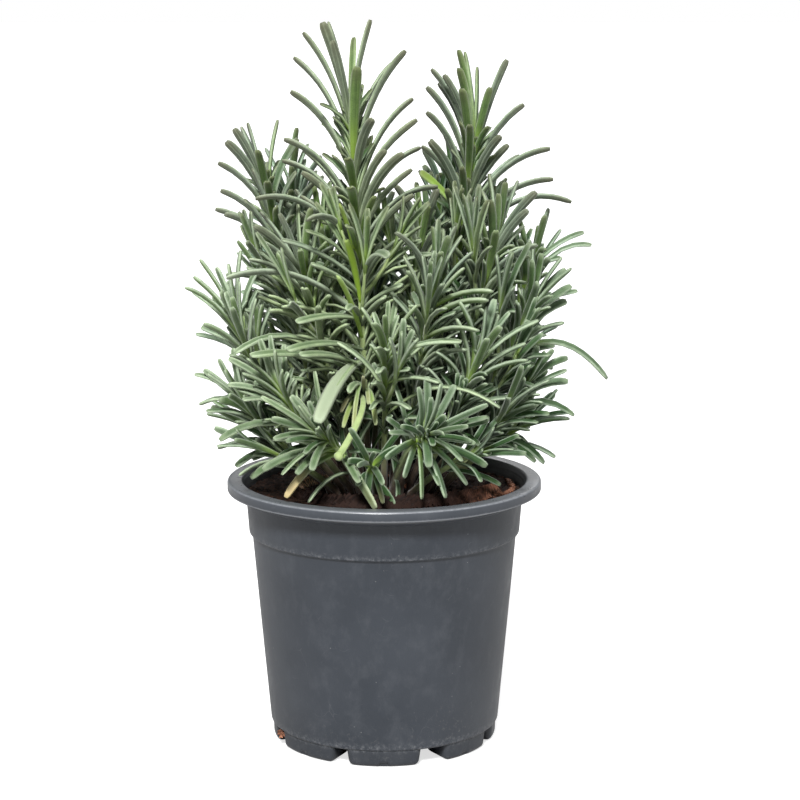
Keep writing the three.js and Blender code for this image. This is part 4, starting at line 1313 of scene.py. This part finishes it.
def peat(groups):
    """Dark damp peat with fibres and reddish bits."""
    material, tree, shader = surface("peat", Roughness=0.95, Specular_IOR_Level=0.1)
    base = two_tones(tree, groups, colour(0.005, 0.003, 0.003), colour(0.04, 0.02, 0.013), 520.0, 0.16)
    red = grouped(tree, groups["specks"], Scale=700.0, Size=0.42, Share=0.22)
    base = blended(tree, product(tree, red, 0.5), base, colour(0.1, 0.04, 0.022))
    tree.links.new(base, shader.inputs["Base Color"])
    grained(tree, shader, groups, 900.0, 0.0012, 0.9)
    return material


# Tones of the chips between which dark bark turns red, and red bark turns to pale wood
RED_TONES = (0.35, 0.6)
PALE_TONES = (0.78, 0.9)


def bark(groups):
    """Reddish brown bark, each chip in its own tone."""
    material, tree, shader = surface("bark", Roughness=0.75, Specular_IOR_Level=0.15)
    tone = attribute(tree, "tone")
    red = blended(tree, ranged(tree, tone, *RED_TONES), colour(0.008, 0.004, 0.003), colour(0.5, 0.22, 0.13))
    base = blended(tree, ranged(tree, tone, *PALE_TONES), red, colour(0.9, 0.62, 0.42))
    uv = add(tree, "ShaderNodeUVMap", uv_map="UVMap").outputs[0]
    streaks = mottle(tree, stretched(tree, uv, (1.5, 6.0, 1.0)), 1.0, 3.0)[0]
    base = blended(tree, ranged(tree, streaks, 0.56, 0.42, 0.0, 0.85), base, colour(0.02, 0.009, 0.006))
    tree.links.new(base, shader.inputs["Base Color"])
    grained(tree, shader, groups, 1300.0, 0.0003, 0.5)
    return material


def arc(centre_radius, centre_height, radius, start, end, steps):
    """Profile points on a round edge, by angles in degrees from outwards."""
    angles = [math.radians(mix(start, end, i / steps)) for i in range(steps + 1)]
    return [(centre_radius + radius * math.cos(a), centre_height + radius * math.sin(a)) for a in angles]


def turned(bm, profile, steps):
    """Spins a profile of radius and height round the pot's axis, starting and ending on the axis."""
    chain = [bm.verts.new((radius, 0, height)) for radius, height in profile]
    edges = [bm.edges.new(pair) for pair in zip(chain, chain[1:])]
    bmesh.ops.spin(
        bm, geom=chain + edges, axis=(0, 0, 1), cent=(0, 0, 0), angle=2 * math.pi, steps=steps, use_merge=True
    )
    bmesh.ops.remove_doubles(bm, verts=bm.verts, dist=0.001)
    bmesh.ops.recalc_face_normals(bm, faces=bm.faces)


def mesh_of(bm, name, sharp=35):
    """The finished mesh in metres in the model's frame, smooth but for its sharp edges."""
    for face in bm.faces:
        face.smooth = True
    mesh = bpy.data.meshes.new(name)
    bm.to_mesh(mesh)
    bm.free()
    mesh.vertices.foreach_set("co", in_frame(place_of(mesh)).ravel())
    mesh.set_sharp_from_angle(angle=math.radians(sharp))
    mesh.update()
    return mesh


# The pot's wall in section, as radius and height: up the outside and down the inside
POT_STEPS = 160
POT_OUTSIDE = (
    [(0, 7.0), (45.6, 7.0)]
    + arc(46.4, 8.4, 1.4, -90, -8, 5)
    + [(52.0, 55.0), (54.8, 86.6), (54.95, 87.5), (55.2, 87.8)]
    + arc(55.6, 88.4, 0.55, -70, -5, 3)
    + [(56.8, 97.0), (57.3, 102.4), (58.1, 102.7), (58.5, 103.2), (58.6, 105.2), (58.3, 105.7), (57.9, 106.0)]
    + [(57.9, 107.4), (58.4, 108.3), (59.3, 108.6), (62.9, 108.6), (63.6, 108.2), (63.9, 107.2), (64.0, 106.1)]
    + arc(64.5, 106.0, 0.45, 180, 360, 4)
    + arc(63.7, 108.6, 1.3, 10, 88, 6)
    + [(61.8, 110.0), (60.2, 109.9)]
    + arc(59.7, 108.9, 1.0, 95, 178, 4)
)
POT_INSIDE = [(57.9, 107.2), (56.6, 104.5), (55.1, 89.6), (54.2, 88.0), (46.9, 9.2), (46.0, 8.0), (0, 8.0)]

# The feet, which reach a little into the pot's floor
OUTER_STEPS = 12
INNER_STEPS = 6
FOOT_SINK = 0.5
FOOT_SLIMMED = (0.965, 0.93, 1)
FOOT_BEVEL = 2.3
FOOT_BEVEL_STEPS = 6
SHARP_TURN = 0.6
NOTCH_HALF = 1.5
NOTCH_SLOPE = 0.8
NOTCH_RISE = 1.1
NOTCH_DEPTH = 1.8
WIDE_GAP_FOOT = 7
WIDE_GAP = math.radians(6.5)


def cut_across(bm, place, square):
    """Cuts every face that a plane meets, and keeps both sides."""
    bmesh.ops.bisect_plane(bm, geom=[*bm.verts, *bm.edges, *bm.faces], plane_co=place, plane_no=square)


def foot_block(cut):
    """One foot with rounded corners and a shallow notch across its sole, cut short on one side."""
    bm = bmesh.new()
    half = math.pi / FOOT_COUNT - FOOT_GAP / 2 / FOOT_OUTER
    outer = [(FOOT_OUTER, mix(-half + cut, half, i / OUTER_STEPS)) for i in range(OUTER_STEPS + 1)]
    inner = [(FOOT_INNER, mix(half, -half + cut, i / INNER_STEPS)) for i in range(INNER_STEPS + 1)]
    corners = [bm.verts.new((r * math.cos(a), r * math.sin(a), 0)) for r, a in outer + inner]
    sole = bm.faces.new(corners)
    made = bmesh.ops.extrude_face_region(bm, geom=[sole])["geom"]
    top = [item for item in made if isinstance(item, bmesh.types.BMVert)]
    bmesh.ops.translate(bm, verts=top, vec=(0, 0, POT_FLOOR + FOOT_SINK))
    middle = Vector(((FOOT_INNER + FOOT_OUTER) / 2, 0, 0))
    bmesh.ops.scale(bm, verts=corners, vec=FOOT_SLIMMED, space=Matrix.Translation(-middle))
    bmesh.ops.recalc_face_normals(bm, faces=bm.faces)
    rounded = [
        edge for edge in bm.edges
        if edge.calc_face_angle(0) > SHARP_TURN and min(corner.co.z for corner in edge.verts) < 1
    ]
    bmesh.ops.bevel(
        bm, geom=rounded, offset=FOOT_BEVEL, segments=FOOT_BEVEL_STEPS, profile=0.5, affect="EDGES", material=-1,
        offset_type="OFFSET",
    )
    for side in (-NOTCH_HALF - NOTCH_SLOPE, -NOTCH_HALF, NOTCH_HALF, NOTCH_HALF + NOTCH_SLOPE):
        cut_across(bm, (0, side, 0), (0, 1, 0))
    notch_end = FOOT_OUTER - NOTCH_DEPTH
    cut_across(bm, (notch_end, 0, 0), (1, 0, 0))
    raised = [
        corner for corner in bm.verts
        if abs(corner.co.y) < NOTCH_HALF + 0.01 and corner.co.x > notch_end + 0.05 and corner.co.z < POT_FLOOR / 2
    ]
    bmesh.ops.translate(bm, verts=raised, vec=(0, 0, NOTCH_RISE))
    mesh = bpy.data.meshes.new("foot")
    bm.to_mesh(mesh)
    bm.free()
    return mesh


def sole_plate(name):
    """The eight feet in a ring."""
    whole, narrow = foot_block(0), foot_block(WIDE_GAP)
    bm = bmesh.new()
    for i in range(FOOT_COUNT):
        before = len(bm.verts)
        bm.from_mesh(narrow if i == WIDE_GAP_FOOT else whole)
        bm.verts.ensure_lookup_table()
        turn = Matrix.Rotation(2 * math.pi * i / FOOT_COUNT, 3, "Z")
        bmesh.ops.rotate(bm, verts=bm.verts[before:], cent=(0, 0, 0), matrix=turn)
    for foot in (whole, narrow):
        bpy.data.meshes.remove(foot)
    return mesh_of(bm, name)


def nursery_pot(material):
    """The moulded shell and its feet, which stand for the pot's solid."""
    bm = bmesh.new()
    turned(bm, POT_OUTSIDE + POT_INSIDE, POT_STEPS)
    shell = finished("pot_shell", mesh_of(bm, "pot_shell"), "pot", material)
    feet = finished("pot_feet", sole_plate("pot_feet"), "pot", material)
    for piece in (shell, feet):
        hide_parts("pot")


SOIL_STEPS = 150
SOIL_RINGS = 44
SOIL_EDGE = 56.2
LUMP_PITCH, LUMP_HEIGHT = 0.06, 1.2
CRUMB_PITCH, CRUMB_HEIGHT = 0.35, 0.9
WALL_BANK = 0.8
FRONT_BANK = 2.6
BANK_DEPTHS = (2, 24)
BANK_RADII = (26, 44)


def soil_height(x, y):
    """Lumps and crumbs of the soil over its level, and a bank against the pot's wall, higher at the front."""
    spot = Vector((x, y, 0))
    lumps = noise.fractal(spot * LUMP_PITCH, 0.8, 2.1, 4) * LUMP_HEIGHT
    crumbs = noise.fractal(spot * CRUMB_PITCH, 0.6, 2.2, 3) * CRUMB_HEIGHT
    out = math.hypot(x, y)
    front = ramp(-y, *BANK_DEPTHS) * ramp(out, *BANK_RADII)
    return lumps + crumbs + WALL_BANK * (out / SOIL_EDGE) ** 4 + FRONT_BANK * front


def soil_bed(material):
    """The soil's uneven surface and its sides against the pot's wall."""
    bm = bmesh.new()
    side = [(0, 8.1), (45.8, 8.1), (46.7, 9.2), (53.9, 88.0), (54.8, 89.6), (SOIL_EDGE, SOIL_LEVEL - 2)]
    top = [(SOIL_EDGE * (1 - i / SOIL_RINGS), SOIL_LEVEL) for i in range(SOIL_RINGS + 1)]
    turned(bm, side + top, SOIL_STEPS)
    for corner in bm.verts:
        if corner.co.z > SOIL_LEVEL - 0.1:
            corner.co.z += soil_height(corner.co.x, corner.co.y)
    bed = finished("soil_bed", mesh_of(bm, "soil_bed", 180), "soil", material)
    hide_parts("soil")


CHIP_COUNT = 1300
CHIP_SIZES = (2.0, 8.5)
CHIP_WIDTHS = (0.4, 0.8)
CHIP_WIDTH_POWER = 0.8
CHIP_THICKNESSES = (0.45, 0.8)
CHIP_THICKNESS_POWER = 0.75
CHIP_WALL_GAP = 0.6
CHIP_UNEVEN = 0.45
CHIP_WARP = 0.12
CHIP_TILT = 0.9
CHIP_ROLL = 1.5
CHIP_LIFT = 0.3
CHIP_SHARP = 18

# Crumbs caught between two feet at the left
CAUGHT_CRUMBS = ((-42.5, -19.5, 6.0), (-43.6, -18.2, 5.2), (-41.2, -20.8, 5.4), (-42.8, -19.4, 4.4))
CRUMB_SIZE = 1.5
CRUMB_UNEVEN = 0.4
CRUMB_TONE = 0.46
CRUMB_TONE_STEP = 0.04


def chip_template():
    """A block with a grid across its faces, ready to be knocked out of shape into a chip."""
    bm = bmesh.new()
    bmesh.ops.create_cube(bm, size=1)
    bmesh.ops.subdivide_edges(bm, edges=bm.edges, cuts=1, use_grid_fill=True)
    mesh = bpy.data.meshes.new("chip")
    uv = bm.loops.layers.uv.new("UVMap")
    for face in bm.faces:
        face.smooth = True
        for corner in face.loops:
            corner[uv].uv = (corner.vert.co.x, corner.vert.co.y + 0.5 * corner.vert.co.z)
    bm.to_mesh(mesh)
    bm.free()
    return mesh


def uneven(count, most, *seeds):
    """How far each corner of a chip is pushed out of true."""
    return 1 + most * np.array([[swing(*seeds, k, axis) for axis in range(3)] for k in range(count)])


def turning(turn, tilt, roll):
    """A roll about X, then a tilt about Y, then a turn about Z."""
    about_x = np.array([[1, 0, 0], [0, math.cos(roll), -math.sin(roll)], [0, math.sin(roll), math.cos(roll)]])
    about_y = np.array([[math.cos(tilt), 0, math.sin(tilt)], [0, 1, 0], [-math.sin(tilt), 0, math.cos(tilt)]])
    about_z = np.array([[math.cos(turn), -math.sin(turn), 0], [math.sin(turn), math.cos(turn), 0], [0, 0, 1]])
    return about_z @ about_y @ about_x


def chip_corners(i, flat):
    """Where the corners of one chip lie, sunk a little into the soil."""
    size = mix(*CHIP_SIZES, draw(i, 3) ** 2)
    far = (SOIL_EDGE - CHIP_WALL_GAP - size / 2) * math.sqrt(draw(i, 1))
    bearing = 2 * math.pi * draw(i, 2)
    x, y = far * math.cos(bearing), far * math.sin(bearing)
    width = size**CHIP_WIDTH_POWER * mix(*CHIP_WIDTHS, draw(i, 4))
    thickness = size**CHIP_THICKNESS_POWER * mix(*CHIP_THICKNESSES, draw(i, 5))
    corners = flat * np.array([size, width, thickness]) * uneven(len(flat), CHIP_UNEVEN, i, 7)
    corners[:, 2] += CHIP_WARP * np.abs(corners[:, 0]) * swing(i, 8)
    turn, tilt, roll = 2 * math.pi * draw(i, 9), CHIP_TILT * swing(i, 10), CHIP_ROLL * swing(i, 11)
    corners = corners @ turning(turn, tilt, roll).T
    return corners + [x, y, SOIL_LEVEL + soil_height(x, y) + CHIP_LIFT * thickness]


def bark_chips(material):
    """Chips of bark and crumbs of peat scattered on the soil, and the crumbs between the feet."""
    template = chip_template()
    flat = place_of(template)
    places = [chip_corners(i, flat) for i in range(CHIP_COUNT)]
    tones = [draw(i, 12) for i in range(CHIP_COUNT)]
    for i, place in enumerate(CAUGHT_CRUMBS):
        places.append(flat * CRUMB_SIZE * uneven(len(flat), CRUMB_UNEVEN, i, 27) + place)
        tones.append(CRUMB_TONE + CRUMB_TONE_STEP * i)
    bm = bmesh.new()
    for _ in places:
        bm.from_mesh(template)
    mesh = bpy.data.meshes.new("bark_chips")
    bm.to_mesh(mesh)
    bm.free()
    bpy.data.meshes.remove(template)
    mesh.vertices.foreach_set("co", in_frame(np.concatenate(places)).ravel())
    mesh.attributes.new("tone", "FLOAT", "POINT").data.foreach_set("value", np.repeat(tones, len(flat)))
    mesh.set_sharp_from_angle(angle=math.radians(CHIP_SHARP))
    mesh.update()
    finished("bark_chips", mesh, "soil", material)


FLOOR_HALF = 60
FLOOR_GLOW = 0.68
SKY_LIGHT = 0.28

# Each lamp: its name, its bearing and height in degrees, how wide it is and its power
LAMPS = (("key", -7, 44, 12, 5.6), ("sky", 60, 72, 80, 0.7), ("back", 170, 38, 40, 1.2))


def pale_floor():
    """The floor, which isn't part of the plant."""
    bm = bmesh.new()
    bmesh.ops.create_grid(bm, x_segments=1, y_segments=1, size=FLOOR_HALF)
    mesh = bpy.data.meshes.new("floor")
    bm.to_mesh(mesh)
    bm.free()
    material, tree, shader = surface("pale_floor", Roughness=0.9)
    shader.inputs["Base Color"].default_value = colour(0.45, 0.45, 0.45)
    shader.inputs["Emission Color"].default_value = colour(1.0, 1.0, 1.0)
    seen = add(tree, "ShaderNodeLightPath").outputs["Is Camera Ray"]
    tree.links.new(product(tree, seen, FLOOR_GLOW), shader.inputs["Emission Strength"])
    mesh.materials.append(material)
    floor = bpy.data.objects.new("floor", mesh)
    bpy.context.scene.collection.objects.link(floor)


def lamp(name, turn, height, soft, power):
    data = bpy.data.lights.new(name, "SUN")
    data.angle = math.radians(soft)
    data.energy = power
    made = bpy.data.objects.new(name, data)
    bpy.context.scene.collection.objects.link(made)
    away, up = math.radians(turn), math.radians(height)
    aim = Vector((-math.sin(away) * math.cos(up), math.cos(away) * math.cos(up), -math.sin(up)))
    made.rotation_euler = aim.to_track_quat("-Z", "Y").to_euler()


def studio():
    """A pale floor and soft light from above."""
    pale_floor()
    world = bpy.data.worlds.new("studio")
    bpy.context.scene.world = world
    world.use_nodes = True
    tree = world.node_tree
    background = tree.nodes["Background"].inputs
    background["Color"].default_value = colour(1.0, 1.0, 1.0)
    seen = add(tree, "ShaderNodeLightPath").outputs["Is Camera Ray"]
    tree.links.new(ranged(tree, seen, 0.0, 1.0, SKY_LIGHT, 1.0), background["Strength"])
    for row in LAMPS:
        lamp(*row)
    bpy.context.scene.view_settings.view_transform = "Standard"


# Where the light falls on the plant, painted into the leaves' tone: pale outside and high up, dark inside, low
# and at the right, with a pool of light at the front left
INSIDE_TONE, OUTSIDE_TONE = 0.1, 0.8
OPEN_RADII = (0, 55)
OPEN_HEIGHTS = (165, 235)
FINE_LEAF_TONE, SMALL_LEAF_TONE = 0.1, -0.15
DEPTH_FADE = 220
HEAD_DARKER = 0.36
HEAD_HEIGHTS = (205, 235)
RIGHT_DARKER = 0.38
RIGHT_SIDE = (0, 35)
RIGHT_TOP = 200
FOOT_DARKER = 0.5
FOOT_TOP, FOOT_TIP_TOP = 145, 150
LOW_RIGHT_DARKER = 0.12
LOW_RIGHT_TOP, LOW_RIGHT_STARTS = 165, -10
BRIGHT_SPOT = (-26, -20)
BRIGHT_REACH = 58
BRIGHT_HEIGHTS = (150, 225)
BRIGHTER = 0.95
UNEVEN_TONE = 0.32
UNEVEN_HUE = 0.22

# Leaves in the head of the plant: those that spread are old and grey, those that stand are young and green
HEAD_STARTS = 195
SPREAD_AGE, STANDING_AGE = 0.6, 0.12
SPREAD_HUE, STANDING_HUE = -0.35, 0.1

# The long leaves at the front, which are narrower
FRONT_SLIMMED = 0.8
FRONT_FACE = -28
FRONT_TOP = 160


def light_on(leaf):
    """The painted light and shade of a leaf where it stands: how pale it is."""
    x, y, z = leaf.way.middle
    is_open = max(ramp(math.hypot(x, y), *OPEN_RADII), ramp(z, *OPEN_HEIGHTS))
    kind_tone = FINE_LEAF_TONE if leaf.fine else SMALL_LEAF_TONE
    lit = mix(INSIDE_TONE, OUTSIDE_TONE, is_open) - y / DEPTH_FADE + kind_tone
    lit -= HEAD_DARKER * ramp(z, *HEAD_HEIGHTS) + RIGHT_DARKER * ramp(x, *RIGHT_SIDE) * (z < RIGHT_TOP)
    is_foot = z < FOOT_TOP and leaf.way.end[2] < FOOT_TIP_TOP
    is_low_right = z < LOW_RIGHT_TOP and x > LOW_RIGHT_STARTS
    lit -= FOOT_DARKER * is_foot + LOW_RIGHT_DARKER * is_low_right
    from_spot = math.hypot(x - BRIGHT_SPOT[0], y - BRIGHT_SPOT[1])
    is_bright = BRIGHT_HEIGHTS[0] < z < BRIGHT_HEIGHTS[1]
    return lit + BRIGHTER * max(0, 1 - from_spot / BRIGHT_REACH) * is_bright


def finish_leaf(shoot, i, leaf):
    """Gives a leaf its tone, which is painted light and shade with a random difference, its hue and age, and
    slims it at the front.
    """
    y, z = leaf.way.middle[1:]
    leaf.tone = min(1, max(0, light_on(leaf) + UNEVEN_TONE * swing(shoot.index, i, 41)))
    leaf.hue = SHOOT_HUES.get(shoot.name, OTHER_HUE) + UNEVEN_HUE * swing(shoot.index, i, 42)
    if leaf.fine and z > HEAD_STARTS:
        spreads = abs(chord_of(leaf)[0]) > UPRIGHT_SPREAD
        leaf.age = max(leaf.age, SPREAD_AGE) if spreads else min(leaf.age, STANDING_AGE)
        leaf.hue += SPREAD_HUE if spreads else STANDING_HUE
    if leaf.fine and y < FRONT_FACE and z < FRONT_TOP and leaf.fresh > -1:
        leaf.width *= FRONT_SLIMMED


groups = {"uneven tone": uneven_tone_group(), "fine grain": grain_group(), "specks": specks_group()}
templates = {
    "long": bar_template("long_leaf", LEAF_RING, LONG_STATIONS),
    "curved": bar_template("curved_leaf", LEAF_RING, CURVED_STATIONS),
    "short": bar_template("short_leaf", LEAF_RING, SHORT_STATIONS),
    "stem": bar_template("stem_bar", STEM_RING, STEM_STATIONS),
    "twig": bar_template("twig_bar", STEM_RING, STEM_STATIONS[::TWIG_EVERY]),
}
plant_materials = (leaf_felt(groups), green_stem(groups))
shoots, stems, leaves = grow()
add_front_leaves(shoots, leaves)
fill_nodes(shoots, stems, leaves)
fill_axils(shoots, stems, leaves)
grow_twigs(shoots, stems, leaves)
for shoot in shoots:
    for i, leaf in enumerate(shoot.leaves):
        finish_leaf(shoot, i, leaf)
    leafy_stem(shoot, templates, plant_materials)
cut_stub(templates["stem"], plant_materials[1])
nursery_pot(pot_plastic(groups))
soil_bed(peat(groups))
bark_chips(bark(groups))
for template in templates.values():
    bpy.data.meshes.remove(template)
studio()
